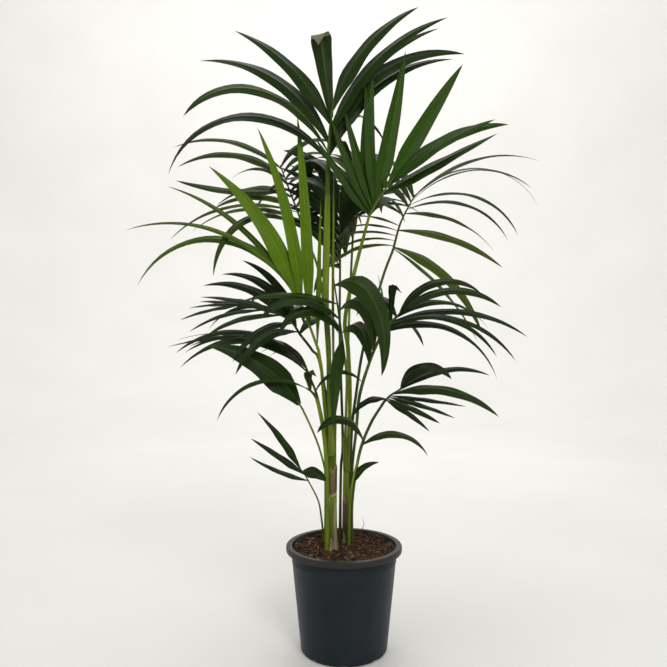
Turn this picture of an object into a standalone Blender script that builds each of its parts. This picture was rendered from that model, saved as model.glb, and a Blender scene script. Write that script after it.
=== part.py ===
"""Kentia palm in its nursery pot: pot, soil, two clumped stems, petioles and fronds.

Metres, +Z up. The origin is the centre of the pot's flat underside, and the plant is seen
along +Y. Every frond is a rachis with leaflets that follow a short rule: a fan runs evenly
from its lowest leaflet to its highest one.
"""
import math
import random
from dataclasses import dataclass, replace

import bmesh
import bpy
from mathutils import Matrix, Vector
from mathutils.bvhtree import BVHTree

# Pot, 24 cm across its rim
RIM_RADIUS = 0.120
RIM_HEIGHT = 0.0115
RIM_ROLL = 0.003
POT_HEIGHT = 0.215
NECK_RADIUS = 0.1095
FOOT_RADIUS = 0.0895
FOOT_ROUND = 0.006
POT_WALL = 0.0025
POT_SIDES = 48
NOTCH_COUNT = 8
NOTCH_SIZE = (0.018, 0.02, 0.010)

# Growing mix, filled nearly to the rim and level where the stems stand
SOIL_TOP = 0.207
SOIL_LEVEL_RADIUS = 0.075
SOIL_EDGE_DROP = 0.004
SOIL_SIDES = 48

# Gap kept between pieces that touch
GAP = 0.0003
UP = Vector((0, 0, 1))

# Leaflets and the stalks that carry them
RINGS = (0.0, 0.15, 0.38, 0.62, 0.84)
BEND_POWER = 1.1
THICKNESS_SHARE = 0.0115
ROOT_SHARE = 0.16
CENTRE_STEPS = 40
STALK_SIDES = 6
STALK_STEPS = 3
RACHIS_STEPS = 2
STEM_SIDES = 12
STALK_DEPTH = 0.8
CLEARANCE = 0.001
JITTER_DEGREES = 4.0
JITTER_LENGTH = 0.09
SEED = 24

# Turns tried, in degrees of heading and slope, for a leaflet that would meet a neighbour
NUDGES = ((0, 0), (5, 0), (-5, 0), (0, 5), (0, -5), (10, 0), (-10, 0), (0, 9), (0, -9),
          (15, 4), (-15, 4), (15, -6), (-15, -6), (22, 0), (-22, 0))


@dataclass(frozen=True)
class Leaflet:
    """One leaflet. Heading is its way in plan, 0 along +X and 90 along +Y, in degrees.

    Rise is its slope where it leaves the rachis and fall its slope at the tip. Roll turns
    the blade about its own length, 0 lying flat. A folded one turns over by fold_turn
    degrees at fold_at of its length.
    """
    heading: float
    rise: float
    fall: float
    length: float
    width: float = 0.026
    roll: float = 0.0
    fold_at: float = 1.0
    fold_turn: float = 0.0


@dataclass(frozen=True)
class Fan:
    """Leaflets set evenly along one side of a rachis, from its low one to its high one."""
    count: int
    low: Leaflet
    high: Leaflet
    start: float = 0.1
    stop: float = 0.95
    swell: float = 0.0


@dataclass(frozen=True)
class Frond:
    """A frond: the points (x, y, z, half width) of its petiole and rachis, and its fans."""
    name: str
    petiole: tuple
    rachis: tuple
    fans: tuple
    colour: str


def lone(share, leaflet):
    """A fan of one leaflet, at a share of the rachis."""
    return Fan(1, leaflet, leaflet, share, share)


FRONDS = (
    Frond(
        "top",
        ((-0.026, -0.009, 0.4503, 0.0046), (-0.031, -0.008, 0.515, 0.0048),
         (-0.032, -0.014, 0.618, 0.0052), (-0.038, -0.020, 0.720, 0.0066),
         (-0.036, -0.024, 0.844, 0.0072), (-0.034, -0.028, 0.934, 0.0052)),
        ((-0.034, -0.028, 0.934, 0.0050), (-0.033, -0.034, 1.000, 0.0034),
         (-0.029, -0.046, 1.061, 0.0026), (-0.021, -0.066, 1.116, 0.0016)),
        (lone(0.35, Leaflet(189, 52, -77, 0.400, 0.034, 56)),
         lone(0.43, Leaflet(212, 57, -58, 0.365, 0.034, 58)),
         lone(0.54, Leaflet(160, 63, 1, 0.385, 0.036, 60)),
         lone(0.73, Leaflet(164, 63, 25, 0.305, 0.035, 64)),
         lone(0.39, Leaflet(14, 70, 4, 0.375, 0.034, -58)),
         lone(0.465, Leaflet(5, 74, -9, 0.380, 0.036, -60)),
         lone(0.56, Leaflet(-14, 71, 10, 0.340, 0.036, -64)),
         lone(0.65, Leaflet(15, 66, 20, 0.345, 0.024, -60)),
         lone(0.88, Leaflet(-9, 73, 20, 0.267, 0.038, -68)),
         Fan(4, Leaflet(124, 36, -62, 0.300, 0.030, 20), Leaflet(58, 52, -50, 0.300, 0.030, -20),
             0.04, 0.60),
         lone(0.80, Leaflet(192, 81, 84, 0.200, 0.044, 118, 0.79, 150))),
        "deep"),
    Frond(
        "young",
        ((-0.035, 0.003, 0.2073, 0.0036), (-0.034, 0.000, 0.330, 0.0036),
         (-0.0345, -0.004, 0.4315, 0.0036), (-0.0415, -0.010, 0.515, 0.0036),
         (-0.046, -0.020, 0.573, 0.0034), (-0.0523, -0.030, 0.618, 0.0030)),
        ((-0.0523, -0.030, 0.618, 0.0030), (-0.0795, -0.035, 0.690, 0.0024),
         (-0.112, -0.040, 0.750, 0.0016)),
        (lone(0.36, Leaflet(174, 89, 84, 0.430, 0.026, 82)),
         lone(0.62, Leaflet(186, 86, 65, 0.374, 0.028, 80)),
         lone(0.78, Leaflet(180, 74, 36, 0.327, 0.040, 76)),
         lone(0.95, Leaflet(164, 57, 17, 0.365, 0.014, 66)),
         lone(0.97, Leaflet(187, 53, -22, 0.367, 0.014, 56)),
         lone(0.90, Leaflet(176, 61, -67, 0.400, 0.024, 52)),
         lone(0.06, Leaflet(-10, 89, 88, 0.300, 0.012, -80))),
        "young"),
    Frond(
        "upper_right",
        ((0.0085, 0.033, 0.4003, 0.0032), (0.0130, 0.029, 0.511, 0.0042),
         (0.0085, 0.010, 0.618, 0.0044), (0.002, -0.002, 0.680, 0.0042),
         (0.020, -0.012, 0.773, 0.0040), (0.050, -0.040, 0.889, 0.0028)),
        ((0.050, -0.040, 0.889, 0.0028), (0.067, -0.055, 0.919, 0.0024),
         (0.099, -0.080, 0.961, 0.0014)),
        (Fan(3, Leaflet(10, 95, 87, 0.310, 0.034, -82), Leaflet(-2, 64, 60, 0.280, 0.036, -74),
             0.05, 0.80),
         lone(0.65, Leaflet(-8, 28, 24, 0.250, 0.034, -54)),
         lone(0.78, Leaflet(-34, 36, 8, 0.245, 0.032, -56)),
         lone(0.92, Leaflet(-20, 45, -7, 0.247, 0.036, -60)),
         Fan(4, Leaflet(66, 40, -44, 0.270, 0.030, -30), Leaflet(104, 60, -20, 0.250, 0.030, 20),
             0.05, 0.75),
         Fan(4, Leaflet(182, 56, 60, 0.200, 0.024, 70), Leaflet(174, 86, 78, 0.230, 0.024, 72),
             0.02, 0.34)),
        "mid"),
    Frond(
        "right_back",
        ((0.012, 0.063, 0.2073, 0.0033), (0.0165, 0.060, 0.423, 0.0033),
         (0.027, 0.064, 0.519, 0.0032), (0.045, 0.078, 0.627, 0.0031),
         (0.086, 0.095, 0.772, 0.0029), (0.1106, 0.100, 0.838, 0.0028)),
        ((0.1106, 0.100, 0.838, 0.0028), (0.130, 0.115, 0.903, 0.0022),
         (0.163, 0.130, 0.967, 0.0014)),
        (lone(0.02, Leaflet(6, -32, -65, 0.290, 0.020, -40)),
         lone(0.06, Leaflet(-40, -18, -69, 0.300, 0.026, -44)),
         lone(0.34, Leaflet(-26, -5, -42, 0.256, 0.024, -46)),
         lone(0.64, Leaflet(9, 7, -54, 0.240, 0.022, -44)),
         lone(0.72, Leaflet(-19, 20, -66, 0.260, 0.018, -36)),
         lone(0.80, Leaflet(-27, 24, -69, 0.288, 0.016, -32)),
         lone(0.87, Leaflet(-30, 40, -46, 0.297, 0.016, -30)),
         lone(0.93, Leaflet(-10, 48, -68, 0.330, 0.015, -28)),
         lone(0.98, Leaflet(25, 42, -10, 0.400, 0.018, -26)),
         Fan(6, Leaflet(196, 10, -60, 0.170, 0.022, 25), Leaflet(112, 62, 24, 0.190, 0.020, 25),
             0.08, 0.95)),
        "dark"),
    Frond(
        "mid_right",
        ((0.013, 0.052, 0.2073, 0.0030), (0.018, 0.047, 0.358, 0.0031),
         (0.0265, 0.034, 0.446, 0.0032), (0.033, 0.016, 0.522, 0.0034),
         (0.054, -0.016, 0.598, 0.0032), (0.0741, -0.040, 0.649, 0.0030)),
        ((0.0741, -0.040, 0.649, 0.0030), (0.0874, -0.050, 0.669, 0.0024),
         (0.110, -0.065, 0.693, 0.0014)),
        (lone(0.10, Leaflet(16, 23, -72, 0.313, 0.022, -44)),
         lone(0.26, Leaflet(-27, 30, -62, 0.260, 0.017, -38)),
         lone(0.42, Leaflet(-24, 23, -58, 0.286, 0.017, -36)),
         lone(0.62, Leaflet(-3, 21, -38, 0.285, 0.022, -40)),
         lone(0.84, Leaflet(-24, 44, -42, 0.228, 0.024, -46)),
         lone(0.98, Leaflet(-13, 63, -45, 0.191, 0.025, -50)),
         lone(0.72, Leaflet(24, 36, -52, 0.260, 0.020, -40)),
         Fan(4, Leaflet(60, 34, -52, 0.240, 0.026, -30), Leaflet(116, 44, -44, 0.210, 0.026, 20),
             0.08, 0.85),
         lone(0.35, Leaflet(-60, 98, 112, 0.115, 0.030, -40)),
         lone(0.60, Leaflet(-30, 88, 84, 0.110, 0.024, -70, 0.66, -120)),
         lone(0.10, Leaflet(196, 44, 62, 0.060, 0.016, 40))),
        "dark"),
    Frond(
        "low_right",
        ((0.0165, 0.036, 0.2073, 0.0032), (0.0182, 0.032, 0.299, 0.0032),
         (0.032, 0.014, 0.398, 0.0032), (0.054, 0.000, 0.462, 0.0031),
         (0.0817, -0.020, 0.512, 0.0028)),
        ((0.0817, -0.020, 0.512, 0.0028), (0.0952, -0.030, 0.527, 0.0022),
         (0.116, -0.045, 0.542, 0.0014)),
        (Fan(4, Leaflet(-34, -24, -42, 0.120, 0.018, -25), Leaflet(2, -6, -16, 0.150, 0.020, -25),
             0.15, 0.45),
         lone(0.60, Leaflet(-18, 18, -44, 0.225, 0.030, -38)),
         lone(0.80, Leaflet(26, 30, -22, 0.245, 0.020, -30)),
         lone(0.96, Leaflet(-6, 72, -60, 0.130, 0.032, -48)),
         lone(0.20, Leaflet(186, 12, -74, 0.088, 0.022, 30))),
        "dark"),
    Frond(
        "mid_left",
        ((-0.024, 0.011, 0.2073, 0.0033), (-0.027, 0.012, 0.430, 0.0032),
         (-0.050, 0.020, 0.586, 0.0030), (-0.067, 0.020, 0.617, 0.0029),
         (-0.0882, 0.020, 0.6446, 0.0028)),
        ((-0.0882, 0.020, 0.6446, 0.0028), (-0.124, 0.015, 0.687, 0.0022),
         (-0.216, 0.000, 0.713, 0.0014)),
        (lone(0.20, Leaflet(190, 80, 18, 0.191, 0.024, 60)),
         lone(0.30, Leaflet(164, 68, -7, 0.214, 0.024, 56)),
         lone(0.40, Leaflet(164, 50, -13, 0.227, 0.026, 50)),
         lone(0.55, Leaflet(188, 24, -1, 0.173, 0.020, 44)),
         lone(0.36, Leaflet(175, 41, -58, 0.204, 0.018, 40)),
         Fan(3, Leaflet(160, 30, -6, 0.135, 0.018, 35), Leaflet(172, 6, -10, 0.120, 0.016, 30),
             0.68, 0.99),
         Fan(5, Leaflet(236, 4, -62, 0.220, 0.024, 35), Leaflet(190, -4, -24, 0.140, 0.016, 28),
             0.12, 0.97),
         Fan(3, Leaflet(70, 36, -48, 0.220, 0.026, -20), Leaflet(108, 40, -40, 0.220, 0.026, 20),
             0.08, 0.60)),
        "dark"),
    Frond(
        "left_back",
        ((-0.033, 0.017, 0.2073, 0.0028), (-0.036, 0.030, 0.400, 0.0028),
         (-0.0551, 0.050, 0.509, 0.0027), (-0.0751, 0.065, 0.562, 0.0026)),
        ((-0.0751, 0.065, 0.562, 0.0026), (-0.095, 0.070, 0.605, 0.0022),
         (-0.128, 0.075, 0.631, 0.0014)),
        (Fan(5, Leaflet(190, 52, -46, 0.300, 0.024, 35), Leaflet(178, 12, -14, 0.240, 0.016, 20),
             0.06, 0.99),
         Fan(3, Leaflet(120, 34, -40, 0.200, 0.020, 20), Leaflet(150, 20, -30, 0.200, 0.016, 15),
             0.15, 0.90)),
        "dark"),
    Frond(
        "broad_left",
        ((-0.0395, -0.006, 0.2073, 0.0019), (-0.0390, -0.0095, 0.350, 0.0020),
         (-0.0420, -0.0105, 0.382, 0.0020), (-0.0534, -0.020, 0.4244, 0.0021),
         (-0.0694, -0.035, 0.4666, 0.0021), (-0.0842, -0.045, 0.500, 0.0021)),
        ((-0.0842, -0.045, 0.500, 0.0021), (-0.0890, -0.047, 0.508, 0.0019),
         (-0.0940, -0.049, 0.516, 0.0016)),
        (lone(0.60, Leaflet(188, 58, 4, 0.225, 0.062, 66)),
         lone(0.80, Leaflet(150, 60, -10, 0.150, 0.024, 30))),
        "deep"),
    Frond(
        "front_left",
        ((-0.0335, -0.016, 0.2073, 0.0044), (-0.0351, -0.020, 0.352, 0.0043),
         (-0.0402, -0.021, 0.434, 0.0042), (-0.0483, -0.026, 0.486, 0.0038),
         (-0.0562, -0.035, 0.521, 0.0032)),
        ((-0.0562, -0.035, 0.521, 0.0032), (-0.065, -0.045, 0.534, 0.0026),
         (-0.077, -0.050, 0.543, 0.0016)),
        (lone(0.85, Leaflet(190, 30, -72, 0.220, 0.016, 30)),
         lone(0.30, Leaflet(-28, 70, -50, 0.135, 0.024, -35)),
         lone(0.60, Leaflet(200, 84, 80, 0.062, 0.026, 60, 0.60, 120))),
        "deep"),
    Frond(
        "seedling",
        ((-0.042, 0.038, 0.2073, 0.0019), (-0.0482, 0.025, 0.268, 0.0018),
         (-0.0543, 0.012, 0.303, 0.0017), (-0.0713, -0.010, 0.3436, 0.0016)),
        ((-0.0713, -0.010, 0.3436, 0.0016), (-0.0804, -0.015, 0.361, 0.0014),
         (-0.0904, -0.020, 0.376, 0.0012)),
        (Fan(3, Leaflet(192, 14, 26, 0.130, 0.014, 40), Leaflet(190, 60, 48, 0.140, 0.022, 55),
             0.15, 0.95),
         lone(0.75, Leaflet(-12, 10, -56, 0.056, 0.028, -50))),
        "deep"),
    Frond(
        "front_low",
        ((0.010, 0.008, 0.2073, 0.0022), (0.0125, 0.000, 0.300, 0.0022),
         (0.020, -0.012, 0.360, 0.0021), (0.0366, -0.024, 0.4215, 0.0019)),
        ((0.0366, -0.024, 0.4215, 0.0019), (0.0385, -0.026, 0.4265, 0.0018),
         (0.0410, -0.029, 0.4330, 0.0015)),
        (lone(0.40, Leaflet(-8, 40, -66, 0.155, 0.022, -40)),
         lone(0.80, Leaflet(206, 86, -52, 0.140, 0.030, 40))),
        "deep"),
    Frond(
        "foot_right",
        ((0.007, 0.022, 0.2073, 0.0018), (0.0105, 0.018, 0.290, 0.0018),
         (0.0142, 0.014, 0.328, 0.0017)),
        ((0.0142, 0.014, 0.328, 0.0017), (0.0150, 0.013, 0.333, 0.0016),
         (0.0160, 0.011, 0.338, 0.0014)),
        (lone(0.60, Leaflet(-6, 74, 0, 0.082, 0.020, -55)),),
        "deep"),
    Frond(
        "front_centre",
        ((0.0025, 0.036, 0.4003, 0.0028), (0.0045, 0.018, 0.480, 0.0030),
         (0.0055, -0.012, 0.560, 0.0028), (-0.0025, -0.032, 0.6286, 0.0024)),
        ((-0.0025, -0.032, 0.6286, 0.0024), (-0.0117, -0.045, 0.695, 0.0020),
         (-0.0218, -0.055, 0.763, 0.0013)),
        (Fan(3, Leaflet(202, 66, -82, 0.170, 0.038, 48), Leaflet(186, 20, -16, 0.195, 0.026, 35),
             0.18, 0.62),
         Fan(2, Leaflet(-68, 36, -92, 0.165, 0.036, -40), Leaflet(-62, 34, -100, 0.225, 0.040, -44),
             0.18, 0.50),
         lone(0.90, Leaflet(-60, 12, -114, 0.300, 0.044, -50)),
         lone(0.08, Leaflet(-100, -30, -90, 0.205, 0.026, 8))),
        "deep"),
    Frond(
        "upper_left",
        ((-0.022, 0.023, 0.2073, 0.0032), (-0.026, 0.036, 0.450, 0.0032),
         (-0.0469, 0.070, 0.747, 0.0029), (-0.0782, 0.090, 0.859, 0.0026)),
        ((-0.0782, 0.090, 0.859, 0.0026), (-0.108, 0.110, 0.940, 0.0021),
         (-0.143, 0.130, 1.034, 0.0014)),
        (lone(0.16, Leaflet(218, 27, -89, 0.317, 0.022, 40)),
         lone(0.28, Leaflet(176, 27, -42, 0.263, 0.020, 40)),
         lone(0.40, Leaflet(196, 16, -50, 0.304, 0.018, 38)),
         lone(0.48, Leaflet(185, 27, -38, 0.195, 0.026, 44)),
         lone(0.60, Leaflet(164, 28, -28, 0.261, 0.024, 44)),
         lone(0.70, Leaflet(185, -5, 19, 0.253, 0.024, 46)),
         lone(0.76, Leaflet(167, 53, -43, 0.155, 0.018, 46)),
         lone(0.84, Leaflet(178, 39, -33, 0.263, 0.028, 48)),
         lone(0.95, Leaflet(170, 43, -22, 0.284, 0.020, 46)),
         Fan(7, Leaflet(60, 40, -40, 0.200, 0.026, -25), Leaflet(20, 62, -46, 0.200, 0.025, -35),
             0.10, 0.98)),
        "olive"),
    Frond(
        "centre_back",
        ((-0.008, 0.045, 0.2073, 0.0030), (-0.006, 0.046, 0.359, 0.0030),
         (-0.002, 0.052, 0.424, 0.0030), (-0.008, 0.080, 0.640, 0.0028),
         (-0.0073, 0.100, 0.793, 0.0025)),
        ((-0.0073, 0.100, 0.793, 0.0025), (-0.0071, 0.120, 0.885, 0.0021),
         (-0.0092, 0.140, 0.980, 0.0014)),
        (Fan(6, Leaflet(205, 56, 0, 0.170, 0.030, 50), Leaflet(150, 72, 24, 0.200, 0.030, 55),
             0.05, 0.98),
         Fan(6, Leaflet(-25, 56, 0, 0.170, 0.032, -50), Leaflet(30, 72, 24, 0.210, 0.032, -55),
             0.08, 0.98),
         Fan(4, Leaflet(112, 20, -60, 0.220, 0.030, 20), Leaflet(70, 40, -50, 0.220, 0.030, -20),
             0.02, 0.70)),
        "dark"),
    Frond(
        "back",
        ((0.000, 0.074, 0.2073, 0.0029), (0.004, 0.086, 0.420, 0.0029),
         (0.014, 0.128, 0.700, 0.0028), (0.024, 0.160, 0.900, 0.0025)),
        ((0.024, 0.160, 0.900, 0.0025), (0.032, 0.178, 0.960, 0.0020),
         (0.042, 0.200, 1.030, 0.0014)),
        (Fan(6, Leaflet(158, 44, -30, 0.190, 0.026, 30), Leaflet(128, 66, 0, 0.180, 0.024, 30),
             0.10, 0.98),
         Fan(6, Leaflet(24, 44, -40, 0.200, 0.026, -30), Leaflet(58, 66, -10, 0.180, 0.024, -30),
             0.14, 0.96),
         Fan(4, Leaflet(106, 24, -66, 0.230, 0.030, 15), Leaflet(76, 50, -60, 0.220, 0.030, -15),
             0.05, 0.90)),
        "olive"),
)

STEMS = (
    ("stem_left", ((-0.022, -0.008, 0.2073, 0.0082), (-0.0225, -0.009, 0.340, 0.0074),
                   (-0.024, -0.010, 0.450, 0.0074))),
    ("stem_right", ((0.005, 0.040, 0.2073, 0.0078), (0.005, 0.038, 0.320, 0.0070),
                    (0.006, 0.035, 0.400, 0.0068))),
)

# The folded spear, not yet open, that stands beside the top frond's petiole
SPEAR = ((-0.0188, -0.010, 0.4503, 0.0016), (-0.0215, -0.010, 0.560, 0.0022),
         (-0.0232, -0.012, 0.720, 0.0028), (-0.0222, -0.016, 0.860, 0.0024),
         (-0.0215, -0.018, 0.990, 0.0006))

COLOURS = {
    "pot": ((0.030, 0.036, 0.040), 0.45),
    "soil": ((0.045, 0.026, 0.016), 0.95),
    "stem": ((0.170, 0.260, 0.040), 0.50),
    "petiole": ((0.200, 0.300, 0.045), 0.45),
    "deep": ((0.028, 0.065, 0.014), 0.40),
    "young": ((0.130, 0.250, 0.020), 0.45),
    "mid": ((0.045, 0.110, 0.018), 0.42),
    "dark": ((0.022, 0.045, 0.014), 0.40),
    "olive": ((0.050, 0.075, 0.020), 0.45),
}


def clear_scene():
    """Removes what the start-up scene holds."""
    for item in list(bpy.data.objects):
        bpy.data.objects.remove(item)


def material(name):
    """The named finish, made once."""
    found = bpy.data.materials.get(name)
    if found:
        return found
    colour, roughness = COLOURS[name]
    made = bpy.data.materials.new(name)
    made.use_nodes = True
    shader = made.node_tree.nodes["Principled BSDF"]
    shader.inputs["Base Color"].default_value = (*colour, 1.0)
    shader.inputs["Roughness"].default_value = roughness
    shader.inputs["Metallic"].default_value = 0.0
    return made


def add_object(name, mesh, finish, collection=None):
    """Puts a mesh in the scene as a named object with its own finish."""
    made = bpy.data.objects.new(name, mesh)
    mesh.materials.clear()
    mesh.materials.append(material(finish))
    (collection or bpy.context.scene.collection).objects.link(made)
    return made


def spline_points(points, steps):
    """Points (x, y, z, radius) on a smooth curve through the given ones."""
    given = [Vector(p) for p in points]
    ends = [2 * given[0] - given[1]] + given + [2 * given[-1] - given[-2]]
    smooth = []
    for i in range(1, len(ends) - 2):
        a, b, c, d = ends[i - 1:i + 3]
        for k in range(steps):
            t = k / steps
            smooth.append(0.5 * (2 * b + (c - a) * t + (2 * a - 5 * b + 4 * c - d) * t ** 2
                                 + (3 * b - a - 3 * c + d) * t ** 3))
    return smooth + [given[-1]]


def tangents(points):
    """The unit direction of a curve at each of its points."""
    last = len(points) - 1
    return [(points[min(i + 1, last)].xyz - points[max(i - 1, 0)].xyz).normalized()
            for i in range(last + 1)]


def stalk_rings(points, sides, steps, foot_way=None, tip_way=None, lift=0.0):
    """Rings of points round a stalk, whose end faces may be given. Lift moves its start on."""
    line = spline_points(points, steps)
    ways = tangents(line)
    ways[0] = foot_way or ways[0]
    ways[-1] = tip_way or ways[-1]
    rings = []
    for i, (p, way) in enumerate(zip(line, ways)):
        deep = way.cross(Vector((1, 0, 0))).normalized()
        across = deep.cross(way).normalized()
        centre = p.xyz + (way * lift if i == 0 else Vector())
        rings.append([centre + p.w * (math.cos(a) * across + STALK_DEPTH * math.sin(a) * deep)
                      for a in (2 * math.pi * k / sides for k in range(sides))])
    return rings


def joint_way(frond):
    """The direction in which a frond's petiole runs on into its rachis."""
    return (Vector(frond.rachis[1][:3]) - Vector(frond.petiole[-2][:3])).normalized()


def petiole_rings(frond):
    """Rings round a frond's petiole, level at its foot."""
    return stalk_rings(frond.petiole, STALK_SIDES, STALK_STEPS, UP, joint_way(frond))


def rachis_rings(frond):
    """Rings round a frond's rachis, a small gap past its petiole's tip."""
    return stalk_rings(frond.rachis, STALK_SIDES, RACHIS_STEPS, joint_way(frond), None, GAP)


def blade_shape(leaflet, share):
    """Width of a leaflet at a share of its length, of its widest. A folded one widens to its fold."""
    if leaflet.fold_turn:
        opened = ROOT_SHARE + (1 - ROOT_SHARE) * min(1.0, share / leaflet.fold_at) ** 0.8
        return opened * min(1.0, (1 - share) / (1 - leaflet.fold_at))
    return min(1.0, ROOT_SHARE + 3.2 * share) * (1.0 - share ** 2.5) ** 0.85


def blade_frames(leaflet, root):
    """Points along a leaflet with its direction, width and face vectors, root to tip."""
    heading = math.radians(leaflet.heading)
    forward = Vector((math.cos(heading), math.sin(heading), 0.0))
    level = Vector((math.sin(heading), -math.cos(heading), 0.0))
    roll = math.radians(leaflet.roll)
    point = root.copy()
    step = leaflet.length / CENTRE_STEPS
    frames = []
    for i in range(CENTRE_STEPS + 1):
        share = i / CENTRE_STEPS
        slope = math.radians(leaflet.rise + (leaflet.fall - leaflet.rise) * share ** BEND_POWER)
        way = math.cos(slope) * forward + math.sin(slope) * Vector((0, 0, 1))
        above = level.cross(way)
        width = math.cos(roll) * level + math.sin(roll) * above
        if share > leaflet.fold_at:
            way = Matrix.Rotation(math.radians(leaflet.fold_turn), 3, width) @ way
        frames.append((share, point.copy(), way, width, way.cross(width) * -1.0))
        point += way * step
    return frames


def blade_rings(leaflet, root, extra=0.0):
    """Four-sided rings along a leaflet, and its tip. Extra makes it stouter, for a test."""
    frames = blade_frames(leaflet, root)
    rings = []
    shares = RINGS
    if leaflet.fold_turn:
        shares = (0.0, 0.3 * leaflet.fold_at, 0.65 * leaflet.fold_at, leaflet.fold_at,
                  leaflet.fold_at + 0.3 * (1 - leaflet.fold_at))
    for share in shares:
        _, point, _, width, face = frames[round(share * CENTRE_STEPS)]
        shape = blade_shape(leaflet, share)
        wide = 0.5 * leaflet.width * shape + extra
        thick = 0.5 * THICKNESS_SHARE * leaflet.length * (0.35 + 0.65 * shape) + extra
        rings.append([point - width * wide, point + face * thick,
                      point + width * wide, point - face * thick])
    return rings, frames[-1][1] + frames[-1][2] * extra


def loft_faces(rings, tip=None):
    """Points and faces of a closed solid through rings, ending in a tip or in a flat cap."""
    sides = len(rings[0])
    points = [p for ring in rings for p in ring]
    faces = [tuple(reversed(range(sides)))]
    for k in range(len(rings) - 1):
        base = k * sides
        for i in range(sides):
            j = (i + 1) % sides
            faces.append((base + i, base + j, base + sides + j, base + sides + i))
    last = (len(rings) - 1) * sides
    if tip is None:
        faces.append(tuple(range(last, last + sides)))
    else:
        points.append(tip)
        faces += [(last + i, last + (i + 1) % sides, len(points) - 1) for i in range(sides)]
    return points, faces


def solid_mesh(name, points, faces):
    """A closed mesh of triangles that point out."""
    bm = bmesh.new()
    verts = [bm.verts.new(p) for p in points]
    for face in faces:
        bm.faces.new([verts[i] for i in face])
    bmesh.ops.triangulate(bm, faces=bm.faces)
    bmesh.ops.recalc_face_normals(bm, faces=bm.faces)
    mesh = bpy.data.meshes.new(name)
    bm.to_mesh(mesh)
    bm.free()
    return mesh


def rachis_point(frond, share):
    """The point at a share of a frond's rachis."""
    line = spline_points(frond.rachis, CENTRE_STEPS // 2)
    return line[round(share * (len(line) - 1))].xyz


def fan_leaflets(fan, rng):
    """The leaflets of a fan with the share of the rachis where each starts. A lone one isn't varied."""
    loose = 1 if fan.count > 1 else 0
    for k in range(fan.count):
        t = k / (fan.count - 1) if fan.count > 1 else 0.0
        low, high = fan.low, fan.high
        bulge = fan.swell * 4 * t * (1 - t)
        turn = [loose * rng.uniform(-JITTER_DEGREES, JITTER_DEGREES) for _ in range(3)]
        yield fan.start + (fan.stop - fan.start) * t, replace(
            low,
            heading=low.heading + (high.heading - low.heading) * t + turn[0],
            rise=low.rise + (high.rise - low.rise) * t + turn[1],
            fall=low.fall + (high.fall - low.fall) * t + 2 * turn[2],
            length=(low.length + (high.length - low.length) * t + bulge)
            * (1 + loose * rng.uniform(-JITTER_LENGTH, JITTER_LENGTH)),
            width=low.width + (high.width - low.width) * t,
            roll=low.roll + (high.roll - low.roll) * t)


def tree_of(points, faces):
    """A search tree over faces, for overlap tests."""
    return BVHTree.FromPolygons([tuple(p) for p in points], faces)


def grown_leaflets():
    """The leaflets of every frond, each turned a little, or left out, to clear the others."""
    rng = random.Random(SEED)
    stalks = {name: [tree_of(*loft_faces(stalk_rings(points, STEM_SIDES, STALK_STEPS, UP)))]
              for name, points in STEMS}
    stalks["spear"] = [tree_of(*loft_faces(stalk_rings(SPEAR, STALK_SIDES, STALK_STEPS, UP)))]
    for frond in FRONDS:
        stalks["petiole_" + frond.name] = [tree_of(*loft_faces(petiole_rings(frond)))]
        stalks[frond.name] = [tree_of(*loft_faces(rachis_rings(frond)))]
    grown = {}
    for frond in FRONDS:
        grown[frond.name] = []
        others = [tree for name, trees in stalks.items() if name != frond.name for tree in trees]
        for fan in frond.fans:
            for share, leaflet in fan_leaflets(fan, rng):
                root = rachis_point(frond, share)
                for heading, slope in NUDGES:
                    tried = replace(leaflet, heading=leaflet.heading + heading,
                                    rise=leaflet.rise + slope, fall=leaflet.fall + slope)
                    test = tree_of(*loft_faces(*blade_rings(tried, root, CLEARANCE)))
                    if not any(test.overlap(tree) for tree in others):
                        grown[frond.name].append((root, tried))
                        stalks[frond.name].append(test)
                        break
    return grown


def largest_body(mesh):
    """Keeps the largest connected body of a mesh, without scraps and sealed hollows."""
    bm = bmesh.new()
    bm.from_mesh(mesh)
    bmesh.ops.triangulate(bm, faces=bm.faces, ngon_method="EAR_CLIP")
    left = set(bm.verts)
    bodies = []
    while left:
        front = [left.pop()]
        body = list(front)
        while front:
            for edge in front.pop().link_edges:
                for vert in edge.verts:
                    if vert in left:
                        left.discard(vert)
                        front.append(vert)
                        body.append(vert)
        bodies.append(body)
    bodies.sort(key=len)
    for body in bodies[:-1]:
        bmesh.ops.delete(bm, geom=body, context="VERTS")
    bm.to_mesh(mesh)
    bm.free()


def is_closed(mesh):
    """Whether every edge of a mesh lies between two faces."""
    bm = bmesh.new()
    bm.from_mesh(mesh)
    closed = all(edge.is_manifold for edge in bm.edges)
    bm.free()
    return closed


def fuse(name, finish, core, others):
    """Joins the core mesh and the others into one solid by a Boolean union."""
    pieces = bpy.data.collections.new(name + "_leaflets")
    bpy.context.scene.collection.children.link(pieces)
    joined = add_object(name, core, finish)
    for i, mesh in enumerate(others):
        add_object(f"{name}_leaflet_{i}", mesh, finish, pieces)
    union = joined.modifiers.new("union", "BOOLEAN")
    union.operation = "UNION"
    union.operand_type = "COLLECTION"
    union.collection = pieces
    for solver in ("EXACT", "MANIFOLD"):
        union.solver = solver
        graph = bpy.context.evaluated_depsgraph_get()
        result = bpy.data.meshes.new_from_object(joined.evaluated_get(graph))
        largest_body(result)
        if is_closed(result):
            break
    joined.modifiers.clear()
    joined.data = result
    result.name = name
    for item in list(pieces.objects):
        bpy.data.objects.remove(item)
    bpy.data.collections.remove(pieces)
    result.materials.clear()
    result.materials.append(material(finish))
    return joined


def add_stalk(name, rings, finish):
    """A stem, petiole or spear through its rings."""
    mesh = solid_mesh(name, *loft_faces(rings))
    mesh.shade_smooth()
    return add_object(name, mesh, finish)


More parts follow.
